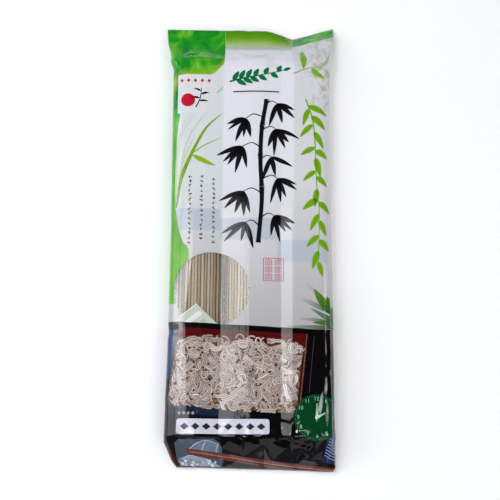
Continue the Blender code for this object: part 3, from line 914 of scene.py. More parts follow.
def strand_mesh():
    """One noodle a millimetre long each way: a cut strip with rounded edges, ready to be scaled and bent."""
    shape = bmesh.new()
    bmesh.ops.create_cube(shape, size=1.0)
    long_edges = [edge for edge in shape.edges if abs((edge.verts[0].co - edge.verts[1].co).y) > 0.5]
    rounding = {"offset": 0.17, "segments": 1, "profile": 0.5, "affect": "EDGES", "material": -1}
    bmesh.ops.bevel(shape, geom=long_edges, clamp_overlap=True, **rounding)
    long_edges = [edge for edge in shape.edges if abs((edge.verts[0].co - edge.verts[1].co).y) > 0.5]
    bmesh.ops.subdivide_edges(shape, edges=long_edges, cuts=5, use_grid_fill=True)
    mesh = bpy.data.meshes.new("strand")
    shape.to_mesh(mesh)
    shape.free()
    return mesh


def noodle_bundle(side, centre, seed, paleness, strand, material):
    """A bundle of strands in three layers over a core, none quite straight and none of one length."""
    draw = random.Random(seed)
    shape = bmesh.new()
    tone = shape.verts.layers.float_color.new("tone")
    middle = Vector((centre, (NOODLES_BOTTOM + NOODLES_TOP) / 2, PACK_THICKNESS / 2))
    length = NOODLES_TOP - NOODLES_BOTTOM
    lying = Matrix.Rotation(math.pi / 2, 4, "X")
    core = {"radius1": 1.0, "radius2": 1.0, "depth": length - 6.0, "matrix": lying}
    bmesh.ops.create_cone(shape, cap_ends=True, segments=36, **core)
    for vert in shape.verts:
        outline = bundle_section(CORE_DEPTH, math.atan2(vert.co.z, vert.co.x))
        vert.co = middle + Vector((outline.x, vert.co.y, outline.z))
        # Painted shade: the core takes a dark tone for the shade inside the bundle
        vert[tone] = (0.1, 0.1, 0.1, 1.0)
    places = [found for depth, pitch in STRAND_LAYERS for found in layer_places(depth, pitch)]
    # A few strands have slipped down between this bundle and the next; they take the darkest tone, painted
    # shade for the deep gap
    slipped_painted_dark = [] if side == "right" else SLIPPED_STRANDS_PAINTED_DARK
    up = Vector((0.0, 0.0, 1.0))
    places += [(Vector((BUNDLE_WIDTH / 2 + across, 0.0, height)), up) for across, height in slipped_painted_dark]
    for number, (place, outward) in enumerate(places):
        single = bmesh.new()
        single.from_mesh(strand)
        single_tone = single.verts.layers.float_color.new("tone")
        own_length = length - draw.uniform(0.2, 3.6)
        slip = draw.uniform(-0.5, 0.5) * (length - own_length)
        turn = math.atan2(outward.x, outward.z) + math.radians(draw.uniform(-9.0, 9.0))
        size = Matrix.Diagonal((STRAND_WIDTH * draw.uniform(0.93, 1.05), own_length, STRAND_THICKNESS, 1.0))
        move = Matrix.Translation(middle + place + Vector((0.0, slip, 0.0)))
        move = move @ Matrix.Rotation(turn, 4, "Y") @ size
        sink = draw.uniform(0.0, 0.45)
        phase = draw.uniform(0.0, 100.0)
        shade = min(1.0, max(0.0, draw.gauss(paleness, 0.28)))
        # Painted shade: the slipped strands take the darkest tone
        if number >= len(places) - len(slipped_painted_dark):
            shade = 0.0
        for vert in single.verts:
            # Painted shade: the cut flanks, where shade falls between the strands, are darker than the rolled
            # face
            tone_with_flank_shade = shade if vert.co.z > 0.45 else 0.3 * shade - 0.1
            vert.co = move @ vert.co
            sway = noise.noise_vector(Vector((phase, vert.co.y / 70.0, seed)))
            vert.co += Vector((0.35 * sway.x, 0.0, 0.0)) - outward * (sink + 0.3 * abs(sway.y))
            vert[single_tone] = (tone_with_flank_shade, tone_with_flank_shade, tone_with_flank_shade, 1.0)
        add_shape(shape, single)
    piece = in_frame(f"noodle_strands_{side}", shape, material)
    piece.data.set_sharp_from_angle(angle=math.radians(50))
    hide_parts(f"noodles_{side}")


# The print


def smooth_path(points, count):
    """Points at even steps of a smooth curve through the given ones."""
    points = [Vector(point) for point in points]
    padded = [2 * points[0] - points[1]] + points + [2 * points[-1] - points[-2]]
    made = []
    for step in range(count + 1):
        place = step / count * (len(points) - 1)
        number = min(int(place), len(points) - 2)
        t = place - number
        p0, p1, p2, p3 = padded[number : number + 4]
        square, cube = 2 * p0 - 5 * p1 + 4 * p2 - p3, 3 * p1 - p0 - 3 * p2 + p3
        made.append(0.5 * (2 * p1 + (p2 - p0) * t + square * t * t + cube * t**3))
    return made


AXES = (Vector((1.0, 0.0, 0.0)), Vector((0.0, 1.0, 0.0)))
# Flat patches are cut into squares this wide
PATCH_STEP = 1.6


def crosses(face, axis, place):
    """Whether a face has corners on both sides of a place on one axis."""
    corners = [vert.co[axis] for vert in face.verts]
    return min(corners) < place < max(corners)


class Print:
    """Flat shapes drawn in film coordinates and laid on the front as one piece of ink."""

    def __init__(self, lift):
        self.shape = bmesh.new()
        self.ink = self.shape.verts.layers.float_color.new("ink")
        self.lift = lift

    def take(self, drawn, colour):
        """Adds a flat drawn shape in one colour, cut into squares so that it can follow the film."""
        for axis, normal in enumerate(AXES):
            places = [vert.co[axis] for vert in drawn.verts]
            place = math.ceil(min(places) / PATCH_STEP) * PATCH_STEP
            while place < max(places):
                cut_along(drawn, whole(drawn), normal * place, normal)
                place += PATCH_STEP
        ink = drawn.verts.layers.float_color.new("ink")
        for vert in drawn.verts:
            vert[ink] = linear(colour)
            vert.co.z = self.lift
        add_shape(self.shape, drawn)

    def patch(self, corners, colour):
        """A filled outline."""
        drawn = bmesh.new()
        face = drawn.faces.new([drawn.verts.new((x, y, 0.0)) for x, y in corners])
        face.normal_update()
        if face.normal.z < 0:
            face.normal_flip()
        bmesh.ops.triangulate(drawn, faces=drawn.faces)
        self.take(drawn, colour)

    def disc(self, centre, radius, colour, count=40):
        """A filled circle."""
        drawn = bmesh.new()
        move = Matrix.Translation((*centre, 0.0))
        bmesh.ops.create_circle(drawn, cap_ends=True, segments=count, radius=radius, matrix=move)
        self.take(drawn, colour)

    def numeral(self, number, centre, height, colour):
        """A plain number."""
        text = bpy.data.curves.new("numeral", "FONT")
        text.body = str(number)
        text.size = height * 1.4
        text.align_x = text.align_y = "CENTER"
        text.resolution_u = 3
        holder = bpy.data.objects.new("numeral", text)
        drawn = bmesh.new()
        drawn.from_mesh(holder.to_mesh())
        holder.to_mesh_clear()
        bpy.data.objects.remove(holder)
        bpy.data.curves.remove(text)
        bmesh.ops.translate(drawn, verts=drawn.verts, vec=(*centre, 0.0))
        self.take(drawn, colour)

    def stroke(self, points, width, colour, edge=None, tip=None, step=1.5, lift=None):
        """A brush stroke. Its width is a number, or depends on how far along it is, from 0 to 1. The colour
        turns to tip along the stroke and to edge on its sides."""
        lift = self.lift if lift is None else lift
        width_at = width if callable(width) else lambda t: width
        length = sum((Vector(b) - Vector(a)).length for a, b in zip(points, points[1:]))
        count = max(4, round(length / step))
        path = smooth_path(points, count)
        before = set(self.shape.verts)
        bmesh.ops.create_grid(self.shape, x_segments=count, y_segments=2, size=1.0)
        root, end, rim = Vector(linear(colour)), Vector(linear(tip or colour)), Vector(linear(edge or colour))
        for vert in set(self.shape.verts) - before:
            number = round((vert.co.x + 1) / 2 * count)
            run = (path[min(number + 1, count)] - path[max(number - 1, 0)]).normalized()
            aside = vert.co.y
            spot = path[number] + Vector((-run.y, run.x)) * (aside * width_at(number / count) / 2)
            middle = root.lerp(end, number / count)
            vert[self.ink] = middle.lerp(rim, aside * aside) if edge else middle
            vert.co = Vector((spot.x, spot.y, lift))

    def frame(self, corners, thick, colour):
        """Lines round an outline."""
        for start, end in zip(corners, corners[1:] + corners[:1]):
            self.stroke([start, end], thick, colour)

    def strokes(self, *rows):
        """Several strokes, each with its points, width and colours."""
        for row in rows:
            self.stroke(*row)

    def trim(self):
        """Cuts off what reaches past the front sheet's edges."""
        for normal, low, high in zip(AXES, (-HALF_FLAT, FOLD_EDGE), (HALF_FLAT, SEAL_END)):
            cut_along(self.shape, whole(self.shape), normal * low, -normal, clear_outer=True)
            cut_along(self.shape, whole(self.shape), normal * high, normal, clear_outer=True)

    def cut_like_film(self):
        """Cuts the shape along the columns and rows of the film, so that it creases just as the film does."""
        for axis, lines in enumerate((COLUMNS, ROWS)):
            places = [vert.co[axis] for vert in self.shape.verts]
            first, last = bisect.bisect_right(lines, min(places)), bisect.bisect_left(lines, max(places))
            for place in lines[first:last]:
                near = [face for face in self.shape.faces if crosses(face, axis, place)]
                cut_along(self.shape, parts_of(near), AXES[axis] * place, AXES[axis])

    def lay(self, name, material, creased=True):
        """Moves every point onto the film and makes the piece."""
        self.trim()
        if creased:
            self.cut_like_film()
        places = {vert: vert.co.xy.copy() for vert in self.shape.verts}
        write_film_map(self.shape, lambda loop, face: places[loop.vert])
        for vert in self.shape.verts:
            vert.co = on_sheet(*vert.co)
        piece = in_frame(name, self.shape, material)


def spoke(degrees, length=1.0):
    """A step of some length in a direction."""
    turn = math.radians(degrees)
    return length * Vector((math.cos(turn), math.sin(turn)))


def rounded_box(left, bottom, right, top, radius):
    """Corners of a box with round corners."""
    middles = [(right - radius, top - radius), (left + radius, top - radius)]
    middles += [(left + radius, bottom + radius), (right - radius, bottom + radius)]
    turns = [(Vector(middle), number, step) for number, middle in enumerate(middles) for step in range(6)]
    return [middle + spoke(90.0 * number + 18.0 * step, radius) for middle, number, step in turns]


def lozenge(x, y, half_width, half_height):
    """Corners of a lozenge whose left corner is at x and y."""
    middle = x + half_width
    return [(x, y), (middle, y + half_height), (middle + half_width, y), (middle, y - half_height)]


def leaf_width(most):
    """Width of a leaf: pointed at both ends and widest a third of the way."""
    return lambda t: most * math.sin(math.pi * min(1.0, t) ** 0.75) ** 0.8 + 0.05


def blade_width(most):
    """Width of a grass blade: widest low down and drawn out to a point."""
    return lambda t: most * min(1.0, 0.3 + 2.4 * t) * max(0.0, 1.0 - t) ** 0.6 + 0.08


def brush_width(start, end):
    """Width of a loaded brush, from where it lands to where it lifts."""
    return lambda t: start + (end - start) * t


def culm_width(most):
    """Width of a length of bamboo: it swells where it meets the joints."""
    return lambda t: most * (1.0 + 0.3 * (2 * t - 1) ** 6)


def draw_leaves(drawn, leaves, colour, edge, droop=0.16, tip=None):
    """Leaves, each given by its root, heading in degrees, length and width."""
    for x, y, heading, length, width in leaves:
        root, out = Vector((x, y)), spoke(heading, length)
        points = [root, root + 0.5 * out, root + out + Vector((0.0, -droop * length))]
        drawn.stroke(points, leaf_width(width), colour, edge, tip)


def print_ink_bamboo(ink):
    """Bamboo brushed in black ink down the middle panel: one slim culm, side twigs, and leaves in fans."""
    drawn = Print(0.15)
    draw = random.Random(21)
    path = smooth_path([(9.4, 90.0), (6.4, 70.0), (5.6, 48.0), (6.6, 22.0), (4.4, -8.0)], 120)
    joints = [0, 27, 55, 82, 120]
    for low, high in zip(joints, joints[1:]):
        drawn.stroke(path[low : high : 3] + [path[high - 1]], culm_width(2.7), "#0D0D10", "#1A1A1E")
        joint = [path[low] + Vector((-1.9, 0.2)), path[low] + Vector((2.0, 0.5))]
        drawn.stroke(joint, leaf_width(0.9), BLACK_INK)
    twigs = [
        ([(9.0, 87.0), (12.6, 89.6), (16.4, 88.0)], 300, 4),
        ([(7.2, 78.0), (1.0, 80.0), (-4.0, 77.0)], 238, 5),
        ([(6.4, 69.0), (12.0, 71.6), (15.4, 70.0)], 296, 5),
        ([(5.6, 57.0), (0.0, 60.0), (-6.0, 57.6)], 236, 5),
        ([(5.6, 48.6), (9.6, 51.4), (12.6, 50.6)], 290, 3),
        ([(6.2, 35.0), (12.6, 38.0), (16.6, 36.0)], 300, 5),
        ([(6.4, 25.6), (0.4, 29.0), (-5.0, 27.0)], 240, 5),
        ([(5.6, 9.0), (10.6, 12.4), (14.4, 11.0)], 302, 5),
        ([(5.0, 4.0), (0.6, 7.6), (-3.6, 6.4)], 238, 4),
    ]
    for points, heading, count in twigs:
        drawn.stroke(points, brush_width(0.8, 0.45), BLACK_INK)
        x, y = points[-1]
        fan = 118.0 / count
        leaves = []
        for number in range(count):
            turn = heading + fan * (number - (count - 1) / 2) + draw.uniform(-8.0, 8.0)
            leaves.append((x, y, turn, draw.uniform(12.0, 18.0), draw.uniform(2.4, 3.4)))
        draw_leaves(drawn, leaves, BLACK_INK, "#101013", 0.08, "#1B1B1F")
    drawn.lay("print_ink_bamboo", ink)


def print_green_bamboo(ink):
    """A hanging spray of green bamboo down the right-hand panel."""
    drawn = Print(0.13)
    stem = [(35.0, 91.0), (39.5, 76.0), (41.0, 56.0), (41.5, 34.0), (43.0, 12.0), (42.0, -20.0)]
    drawn.stroke(stem, brush_width(0.9, 0.4), "#6FA514", tip="#7DB400")
    leaves = [
        (36.5, 86.0, 338, 12, 3.2), (37.0, 84.0, 250, 10, 2.8), (38.5, 79.0, 318, 11, 3.4),
        (39.6, 73.0, 222, 10, 2.8), (40.2, 68.0, 300, 11, 3.0), (40.8, 57.0, 205, 9, 2.8),
        (41.0, 55.0, 330, 8, 3.4), (41.0, 50.0, 284, 11, 3.2), (41.2, 41.0, 216, 9, 2.6),
        (41.4, 37.0, 322, 8, 3.0), (41.8, 29.0, 262, 10, 3.0), (42.2, 22.0, 212, 10, 3.2),
        (42.4, 20.0, 322, 9, 3.2), (42.8, 12.0, 240, 10, 2.8), (42.8, 8.0, 296, 9, 3.0),
        (42.6, -2.0, 220, 9, 2.8), (42.6, -5.0, 318, 8, 3.4), (42.2, -12.0, 250, 10, 3.0),
        (42.0, -19.0, 286, 8, 2.6),
    ]
    fuller = [(x, y, heading, 1.15 * length, 1.3 * width) for x, y, heading, length, width in leaves]
    draw_leaves(drawn, fuller, "#649410", "#78A81C", 0.1)
    drawn.lay("print_green_bamboo", ink)


def print_grass(ink):
    """Brushed grass that fans up from the left edge."""
    drawn = Print(0.11)
    fine = [
        [(-49.0, 14.0), (-48.4, 40.0), (-46.4, 59.0), (-42.5, 70.5), (-37.3, 79.5)],
        [(-48.0, 28.0), (-44.0, 50.0), (-39.0, 66.0), (-30.0, 80.0)],
        [(-49.6, 8.0), (-49.6, 36.0), (-48.2, 56.0), (-45.0, 70.0), (-41.0, 78.0)],
        [(-46.5, 34.0), (-42.6, 50.0), (-36.4, 64.5)],
    ]
    for points in fine:
        drawn.stroke(points, blade_width(0.55), "#B9CC7A", tip="#A9BE88")
    longest = [(-48.4, 16.0), (-44.6, 36.0), (-36.6, 56.0), (-29.0, 70.5), (-19.4, 80.8)]
    drawn.strokes(
        ([(-47.9, 19.6), (-44.7, 35.8), (-41.0, 45.5), (-36.4, 56.5)], blade_width(0.7), "#A6C060"),
        (longest, blade_width(2.9), "#6E9614", "#82A82C"),
        ([(-37.0, 53.0), (-30.5, 57.8), (-19.3, 64.3)], blade_width(0.9), "#86AC30"),
        ([(-37.8, 51.2), (-31.0, 47.6), (-23.0, 44.2)], leaf_width(3.3), "#7CA818", "#8CB83C"),
        ([(-23.4, 94.6), (-20.4, 97.6), (-18.6, 100.4)], leaf_width(1.1), "#A9C48A"),
    )
    drawn.lay("print_grass", ink)


def print_card(ink):
    """A small white card on the green, with a plain red disc."""
    drawn = Print(0.09)
    drawn.patch(rounded_box(-48.4, 80.4, -22.8, 108.0, 1.0), "#D2D4D6")
    drawn.lift = 0.13
    drawn.disc((-41.2, 89.6), 4.6, "#B81430")
    drawn.stroke([(-36.0, 84.6), (-33.4, 91.0), (-32.6, 98.4)], brush_width(0.8, 0.4), BLACK_INK)
    sprig = [(-33.4, 91.0, 168, 6.4, 1.5), (-33.0, 93.6, 24, 6.0, 1.5)]
    sprig += [(-32.8, 96.0, 150, 5.6, 1.3), (-34.2, 89.0, 8, 6.2, 1.4)]
    draw_leaves(drawn, sprig, BLACK_INK, None)
    for number in range(5):
        drawn.patch(lozenge(-46.6 + 4.4 * number, 103.6, 1.2, 1.4), "#B8283E")
    drawn.lay("print_card", ink)


def print_sprigs_in_rows(ink):
    """Three upright rows of very small sprigs in black ink."""
    drawn = Print(0.12)
    draw = random.Random(5)
    for x, bottom, top in [(-39.2, -9.0, 36.2), (-31.6, -6.5, 36.2), (-24.0, -8.0, 35.2)]:
        y = top
        while y > bottom:
            lean = draw.uniform(-0.5, 0.5)
            stem = [(x + lean, y + 1.0), (x - 0.4 * lean, y), (x - lean, y - 1.1)]
            drawn.stroke(stem, leaf_width(0.42), FINE_INK, step=0.6)
            leaves = []
            for _ in range(draw.randint(2, 3)):
                heading = draw.choice((20, 40, 140, 160, 200, 340)) + draw.uniform(-12, 12)
                root = (x + 0.2 * lean, y + draw.uniform(-0.7, 0.7))
                leaves.append((*root, heading, draw.uniform(1.0, 1.5), draw.uniform(0.38, 0.6)))
            draw_leaves(drawn, leaves, FINE_INK, None, 0.0)
            y -= draw.uniform(2.9, 3.4)
    drawn.lay("print_sprigs_in_rows", ink, creased=False)


def print_stamp(ink):
    """A square red stamp with a plain lattice in it."""
    drawn = Print(0.12)
    left, bottom = 7.8, -31.4
    drawn.frame(box(left, bottom, 20.4, -17.0), 0.42, "#C4587A")
    for column in range(2):
        for row in range(3):
            x, y = left + 3.3 + 6.0 * column, bottom + 2.6 + 4.6 * row
            for reach in (1.9, 0.85):
                drawn.frame(box(x - reach, y - 0.8 * reach, x + reach, y + 0.8 * reach), 0.36, "#C85A7C")
            drawn.stroke([(x, y + 1.6), (x, y + 2.4)], 0.36, "#C85A7C")
    drawn.lay("print_stamp", ink, creased=False)


def print_sprig(ink):
    """A dark green sprig over a fine rule at the head of the middle panel."""
    drawn = Print(0.12)
    stem = [(-14.6, 103.5), (-6.0, 105.8), (4.0, 107.6), (20.5, 112.0)]
    drawn.stroke(stem, brush_width(1.3, 0.6), "#04683A")
    path = smooth_path(stem, 12)
    leaves = []
    for number, spot in enumerate(path[1:-1]):
        up = number % 2 == 0
        leaves.append((spot.x, spot.y, 62 if up else -30, 8.2 - 0.25 * number, 3.3))
    leaves.append((20.0, 111.8, 18, 5.5, 2.4))
    draw_leaves(drawn, leaves, "#04683A", "#0A7040", 0.04)
    drawn.stroke([(-12.4, 96.1), (17.6, 96.3)], 0.9, "#3A3A40")
    drawn.lay("print_sprig", ink)


def print_corner_leaves(ink):
    """Young leaves on a twig in the top right corner."""
    drawn = Print(0.12)
    drawn.strokes(
        ([(26.6, 109.0), (34.0, 112.4), (43.0, 114.0), (50.6, 110.6)], brush_width(0.7, 0.4), "#8AA050"),
        ([(33.4, 127.6), (33.6, 119.0), (33.0, 112.6)], leaf_width(4.2), "#6C9C20", "#80AE38"),
        ([(38.4, 113.2), (42.0, 109.0), (47.4, 105.8)], leaf_width(3.8), "#6C9C20", "#82B03A"),
        ([(43.8, 113.8), (48.0, 117.5), (51.5, 123.0)], leaf_width(1.6), "#A9AE88"),
    )
    drawn.lay("print_corner_leaves", ink)


def print_leaf_cluster(ink):
    """Pointed leaves that reach in over the tray from the right, soft grey where they are far away."""
    drawn = Print(0.1)
    leaves = [
        ([(48.0, -48.0), (38.0, -36.5), (31.6, -28.6)], 2.0, "#84907E", "#BEBEBC"),
        ([(49.0, -51.0), (38.0, -45.6), (29.0, -41.6)], 3.0, "#3E5644", "#B4B8B2"),
        ([(49.0, -57.0), (38.0, -55.6), (25.0, -55.0)], 2.0, "#33502E", "#B0B2AC"),
        ([(52.0, -60.5), (38.0, -60.4), (23.0, -59.8)], 2.6, "#1E3C22", "#8E9A8C"),
        ([(50.0, -53.0), (44.0, -44.0), (38.9, -36.0)], 5.0, "#164A1A", "#5A8A22"),
        ([(53.0, -58.5), (46.0, -54.0), (37.0, -48.6)], 3.0, "#1C4426", "#66806A"),
        ([(56.0, -58.0), (50.0, -50.0), (46.5, -41.0)], 4.2, "#0E3A14", "#3E6E24"),
        ([(56.0, -60.5), (48.0, -58.0), (38.0, -57.4)], 3.6, "#12381A", "#4E7038"),
        ([(57.0, -56.0), (53.0, -52.0), (50.0, -47.0)], 5.2, "#0E3414", "#22521C"),
    ]
    for number, (points, width, colour, tip) in enumerate(leaves):
        drawn.stroke(points, leaf_width(width), colour, tip=tip, lift=0.1 + 0.006 * number)
    drawn.lay("print_leaf_cluster", ink)


def inside_outline(outline, spot):
    """Whether a spot lies inside a convex outline whose corners run anticlockwise."""
    for start, end in zip(outline, outline[1:] + outline[:1]):
        run, reach = Vector(end) - Vector(start), spot - Vector(start)
        if run.x * reach.y - run.y * reach.x < 0:
            return False
    return True


def print_noodle_heap(ink):
    """Boiled noodles heaped on the tray: pale strands in loose curls, laid over each other."""
    drawn = Print(0.1)
    draw = random.Random(8)
    heap = [(-50.6, -108.0), (0.2, -111.6), (27.4, -112.4), (33.6, -72.0)]
    heap += [(31.0, -68.0), (-30.0, -65.4), (-44.4, -68.5), (-46.6, -82.0)]
    tones = ["#DCCFC9", "#D0C1B8", "#E6DDDA", "#C6B4A8", "#DDD5D6"]
    strands, made = 1050, 0
    while made < strands:
        level = made / strands
        spot = Vector((draw.uniform(-51.0, 32.0), draw.uniform(-112.5, -65.5)))
        loose = draw.random() < 0.45
        heading = draw.choice((0.0, math.pi)) + draw.gauss(0.0, 0.8 if loose else 0.6)
        bend = draw.choice((-1, 1)) / (draw.uniform(1.5, 3.6) if loose else draw.uniform(3.6, 12.0))
        points = [spot]
        for _ in range(draw.randint(3, 8)):
            bend += draw.uniform(-0.09, 0.09)
            heading += 1.5 * bend
            points.append(points[-1] + 1.5 * Vector((math.cos(heading), math.sin(heading))))
        run = (points[-1] - points[0]).normalized()
        aside = Vector((-run.y, run.x))
        clump = 0.5 + 0.6 * noise.noise(Vector((spot.x / 4.0, spot.y / 3.5, 3.0)))
        drawn_before = made
        for neighbour in range(1 if loose else draw.randint(2, 3)):
            beside = aside * (1.15 * neighbour)
            beside_it = [point + beside + Vector((0.0, draw.uniform(-0.2, 0.2))) for point in points]
            over_rim = loose and spot.y > -71.5 and draw.random() < 0.3
            if not over_rim and not all(inside_outline(heap, point) for point in beside_it):
                continue
            if max(point.y for point in beside_it) > -64.2 or min(point.x for point in beside_it) < -50.6:
                continue
            tone = Vector(linear(draw.choice(tones))) * (0.24 + 0.36 * level + 0.68 * clump)
            shaded = Vector((tone.x * 0.26, tone.y * 0.19, tone.z * 0.15, 1.0))
            lift = 0.05 + 0.0001 * made
            drawn.stroke(beside_it, draw.uniform(0.95, 1.45), tone, shaded, lift=lift, step=1.2)
            made += 1
        # Here and there a dark gap shows between them
        if made > drawn_before and inside_outline(heap, spot) and draw.random() < 0.5:
            gap = [spot, spot + Vector((draw.uniform(1.2, 2.8), draw.uniform(-0.6, 0.6)))]
            width, lift = leaf_width(draw.uniform(1.0, 2.0)), 0.05 + 0.0001 * made
            drawn.stroke(gap, width, "#3E2212", "#6A4430", lift=lift, step=0.8)
    drawn.lay("print_noodle_heap", ink, creased=False)


def print_tray_lines(ink):
    """Lacquered rims and slats of the tray."""
    drawn = Print(0.09)
    drawn.strokes(
        ([(34.6, -64.4), (29.4, -112.6)], 0.45, "#6E4A4A"),
        ([(33.6, -64.4), (28.6, -112.6)], 1.3, "#3A1210"),
        ([(39.0, -66.0), (35.6, -100.0)], 0.42, "#33333F"),
        ([(-49.4, -57.4), (44.0, -61.8)], 0.35, "#2A2228"),
        ([(52.6, -70.0), (52.8, -108.0)], 2.2, "#2E1A14"),
    )
    drawn.lay("print_tray_lines", ink)


def print_plate(ink):
    """The pale plate at the foot, with a row of dark lozenges, and a short row of small ones over it."""
    drawn = Print(0.11)
    drawn.patch(rounded_box(-43.4, -124.6, 11.8, -115.7, 1.6), "#C9CBD6")
    drawn.lift = 0.15
    for number in range(8):
        drawn.patch(lozenge(-41.2 + 6.5 * number, -120.2, 2.6, 2.0), "#262730")
    for number in range(4):
        drawn.patch(lozenge(-43.0 + 2.7 * number, -112.5, 1.1, 1.2), "#8F9094")
    drawn.lay("print_plate", ink)


def print_clock(ink):
    """A green dial with the hours on it, which turns round the edge of the pack."""
    drawn = Print(0.13)
    centre = Vector((39.9, -114.5))
    drawn.disc(centre, 13.7, "#033C1D", 56)
    drawn.lift = 0.17
    for hour in range(1, 13):
        drawn.numeral(hour, centre + spoke(90 - 30 * hour, 11.0), 2.3, "#8CBC9E")
        for minute in range(1, 5):
            drawn.disc(centre + spoke(90 - 30 * hour + 6 * minute, 12.6), 0.16, "#7EB898", 6)
    drawn.stroke([centre, centre + Vector((0.3, 8.4))], brush_width(1.3, 0.5), "#A4C8B2")
    drawn.stroke([centre, centre + Vector((5.0, 2.6))], brush_width(1.5, 0.7), "#A4C8B2")
    drawn.disc(centre, 1.0, "#A4C8B2", 16)
    drawn.lay("print_clock", ink)


def print_tableware(ink):
    """At the foot: a small glazed dish, a striped cup and a pair of chopsticks."""
    drawn = Print(0.08)
    dish = [(-52.0, -143.8), (-49.6, -138.6), (-45.6, -130.2), (-42.4, -127.8)]
    dish += [(-21.0, -127.4), (-17.8, -129.6), (-17.2, -134.5), (-20.0, -143.8)]
    drawn.patch(dish, "#44525D")
    drawn.lift = 0.1
    rim = [(-51.4, -143.8), (-48.6, -139.4), (-41.0, -137.4), (-30.0, -139.0), (-21.0, -143.8)]
    drawn.patch(rim, "#8A94A2")
    inner = [(-38.0, -134.2), (-31.0, -130.2), (-25.6, -128.6), (-19.0, -130.6)]
    drawn.patch(inner + [(-19.4, -136.6), (-30.0, -136.4)], "#5F7087")
    drawn.lift = 0.12
    for points in [
        [(-38.0, -133.6), (-31.6, -130.0), (-25.6, -128.4), (-18.6, -130.6)],
        [(-26.0, -128.8), (-29.6, -133.0), (-31.0, -136.0)],
        [(-19.0, -130.8), (-21.4, -134.4), (-20.4, -137.0)],
        [(-44.6, -138.8), (-39.6, -137.4), (-33.0, -138.8)],
    ]:
        drawn.stroke(points, brush_width(0.6, 0.35), "#A4AEBC")
    draw = random.Random(4)
    for _ in range(26):
        spot = Vector((draw.uniform(-49.0, -24.0), draw.uniform(-143.6, -139.0)))
        corners = [spot + spoke(72 * turn, draw.uniform(0.4, 1.3)) for turn in range(5)]
        drawn.patch(corners, draw.choice(("#D3D7DE", "#B4BCC8", "#566577")))
    drawn.lift = 0.09
    drawn.patch([(48.6, -103.0), (62.0, -102.0), (62.0, -141.0), (45.6, -140.0), (46.4, -118.0)], "#1A2048")
    drawn.lift = 0.11
    for number in range(22):
        y = -104.2 - 1.5 * number
        left = max(45.9, 48.9 - 0.12 * number)
        drawn.stroke([(left, y), (52.0, y - 2.4), (61.0, y - 4.0)], 0.55, "#6F7CA4")
    drawn.lift = 0.13
    upper = [(-40.6, -134.2), (-10.0, -137.8), (20.0, -141.2), (56.0, -143.9)]
    lower = [(-40.2, -136.0), (-10.0, -140.0), (14.0, -143.0), (30.0, -144.3)]
    drawn.stroke(upper, brush_width(2.1, 2.3), "#743636", "#4E1A1A")
    drawn.stroke(lower, 1.6, "#74342F", "#4A1818")
    drawn.lift = 0.15
    drawn.stroke([(-39.0, -135.2), (-6.0, -139.2), (22.0, -142.3), (56.0, -144.2)], 0.55, "#8E7450")
    drawn.lay("print_tableware", ink)


def print_napkin(ink):
    """A folded napkin that hides the window's lower left."""
    drawn = Print(0.14)
    cloth = [(-47.6, -57.4), (-43.0, -53.6), (-39.4, -51.0), (-33.4, -46.0), (-20.2, -58.4)]
    drawn.patch(cloth, "#BCC3B6")
    drawn.lift = 0.17
    drawn.patch([(-41.0, -57.8), (-32.0, -50.6), (-29.6, -52.6), (-36.6, -58.0)], "#DADFD8")
    drawn.patch([(-32.0, -58.2), (-29.0, -55.6), (-27.6, -56.8), (-29.0, -58.2)], "#A8B0A2")
    drawn.stroke([(-43.6, -54.4), (-33.4, -46.4)], 0.6, "#E2E6E0")
    drawn.stroke([(-33.2, -46.4), (-20.6, -58.2)], 0.5, "#8E9888")
    drawn.lay("print_napkin", ink)


# Every motif of the print
MOTIFS = (
    print_card, print_grass, print_green_bamboo, print_ink_bamboo, print_sprigs_in_rows, print_stamp,
    print_sprig, print_corner_leaves, print_leaf_cluster, print_tray_lines, print_noodle_heap, print_plate,
    print_clock, print_tableware, print_napkin,
)


# Stage


# Soft lights: (name, place, what it faces, width, height, watts, colour, shine, fill). One that doesn't shine
# fills shadows and isn't mirrored in the film, and one that doesn't fill is only mirrored.
ORIGIN = (0.0, 0.0, 0.0)
LIGHTS = [
    ("soft_box_near", (-0.45, 0.05, 0.9), (-0.45, 0.05, 0.0), 0.6, 0.5, 3.2, "#FFFFFF", True, True),
    ("soft_box_far", (-0.45, 0.52, 0.9), (-0.45, 0.52, 0.0), 0.6, 0.45, 2.8, "#FFFFFF", False, True),
    ("window_left", (-1.25, 0.1, 0.62), ORIGIN, 1.1, 1.0, 9.0, "#EAEEFC", True, True),
    ("panel_front", (0.1, -1.1, 0.78), (0.0, -0.13, 0.0), 1.4, 0.45, 1.25, "#FFFFFF", True, True),
    ("strip_left", (-0.74, 0.1, 0.8), ORIGIN, 0.13, 1.1, 2.6, "#FFFFFF", True, False),
    ("fill_front", (0.35, -0.9, 1.3), ORIGIN, 1.2, 1.2, 11.5, "#FFFFFF", False, True),
    ("fill_right", (1.1, 0.2, 1.0), ORIGIN, 1.0, 1.0, 6.0, "#FFFFFF", False, True),
]


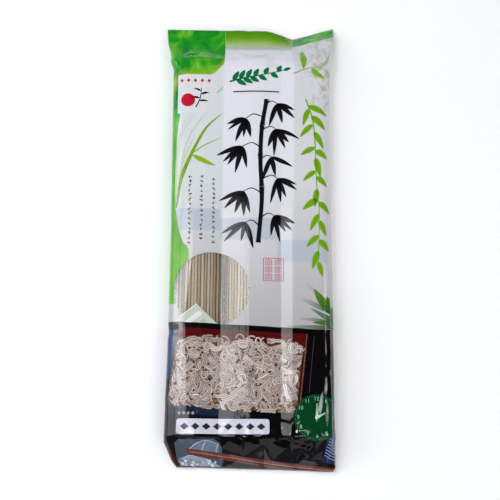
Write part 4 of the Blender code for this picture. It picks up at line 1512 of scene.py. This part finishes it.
def add_light(name, place, target, width, height, watts, colour, shine, fill):
    """A rectangular soft light."""
    data = bpy.data.lights.new(name, "AREA")
    data.shape = "RECTANGLE"
    data.size, data.size_y = width, height
    data.energy = watts
    data.color = linear(colour)[:3]
    made = bpy.data.objects.new(name, data)
    made.location = place
    made.rotation_euler = (Vector(target) - Vector(place)).to_track_quat("-Z", "Y").to_euler()
    made.visible_glossy = shine
    made.visible_diffuse = fill
    bpy.context.scene.collection.objects.link(made)


def build_stage():
    """Pale paper, soft lights round the pack, and a room that is dark overhead and paler at the horizon."""
    shape = bmesh.new()
    bmesh.ops.create_grid(shape, x_segments=1, y_segments=1, size=2.0)
    mesh = bpy.data.meshes.new("floor")
    shape.to_mesh(mesh)
    shape.free()
    mesh.materials.append(floor_material())
    floor = bpy.data.objects.new("floor", mesh)
    bpy.context.scene.collection.objects.link(floor)

    for light in LIGHTS:
        add_light(*light)

    world = bpy.data.worlds.new("room")
    world.use_nodes = True
    tree = world.node_tree
    tree.nodes.clear()
    up = add_node(tree, "SeparateXYZ", add_node(tree, "TexCoord", output="Generated"), output=2)
    greys = [(0.0, "#8A8F98"), (0.35, "#656A72"), (0.7, "#36383D"), (0.85, "#323338"), (1.0, "#303134")]
    room = add_node(tree, "ValToRGB", up, stops=greys)
    background = add_node(tree, "Background", {"Color": room, "Strength": 1.0})
    add_node(tree, "OutputWorld", background)
    bpy.context.scene.world = world
    bpy.context.scene.view_settings.view_transform = "Standard"


def build_camera():
    """A camera over the pack that leans towards its foot, as the photograph was taken."""
    aim = (CAMERA_AIM + PACK_TO_FRAME) * MM
    lean = Matrix.Rotation(math.radians(CAMERA_LEAN), 4, "X")
    roll = Matrix.Rotation(math.radians(CAMERA_ROLL), 4, "Z")
    data = bpy.data.cameras.new("camera")
    data.sensor_width = SENSOR_WIDTH
    data.lens = SENSOR_WIDTH * FOCAL_PIXELS / IMAGE_PIXELS
    camera = bpy.data.objects.new("camera", data)
    back = Matrix.Translation((0.0, 0.0, CAMERA_DISTANCE * MM))
    camera.matrix_world = Matrix.Translation(aim) @ lean @ back @ roll
    bpy.context.scene.collection.objects.link(camera)
    bpy.context.scene.camera = camera


build_film(printed_film_material(), window_material())
strand = strand_mesh()
noodle = noodle_material()
for bundle in BUNDLES:
    noodle_bundle(*bundle, strand, noodle)
bpy.data.meshes.remove(strand)
ink = ink_material()
for print_motif in MOTIFS:
    print_motif(ink)
build_stage()
build_camera()
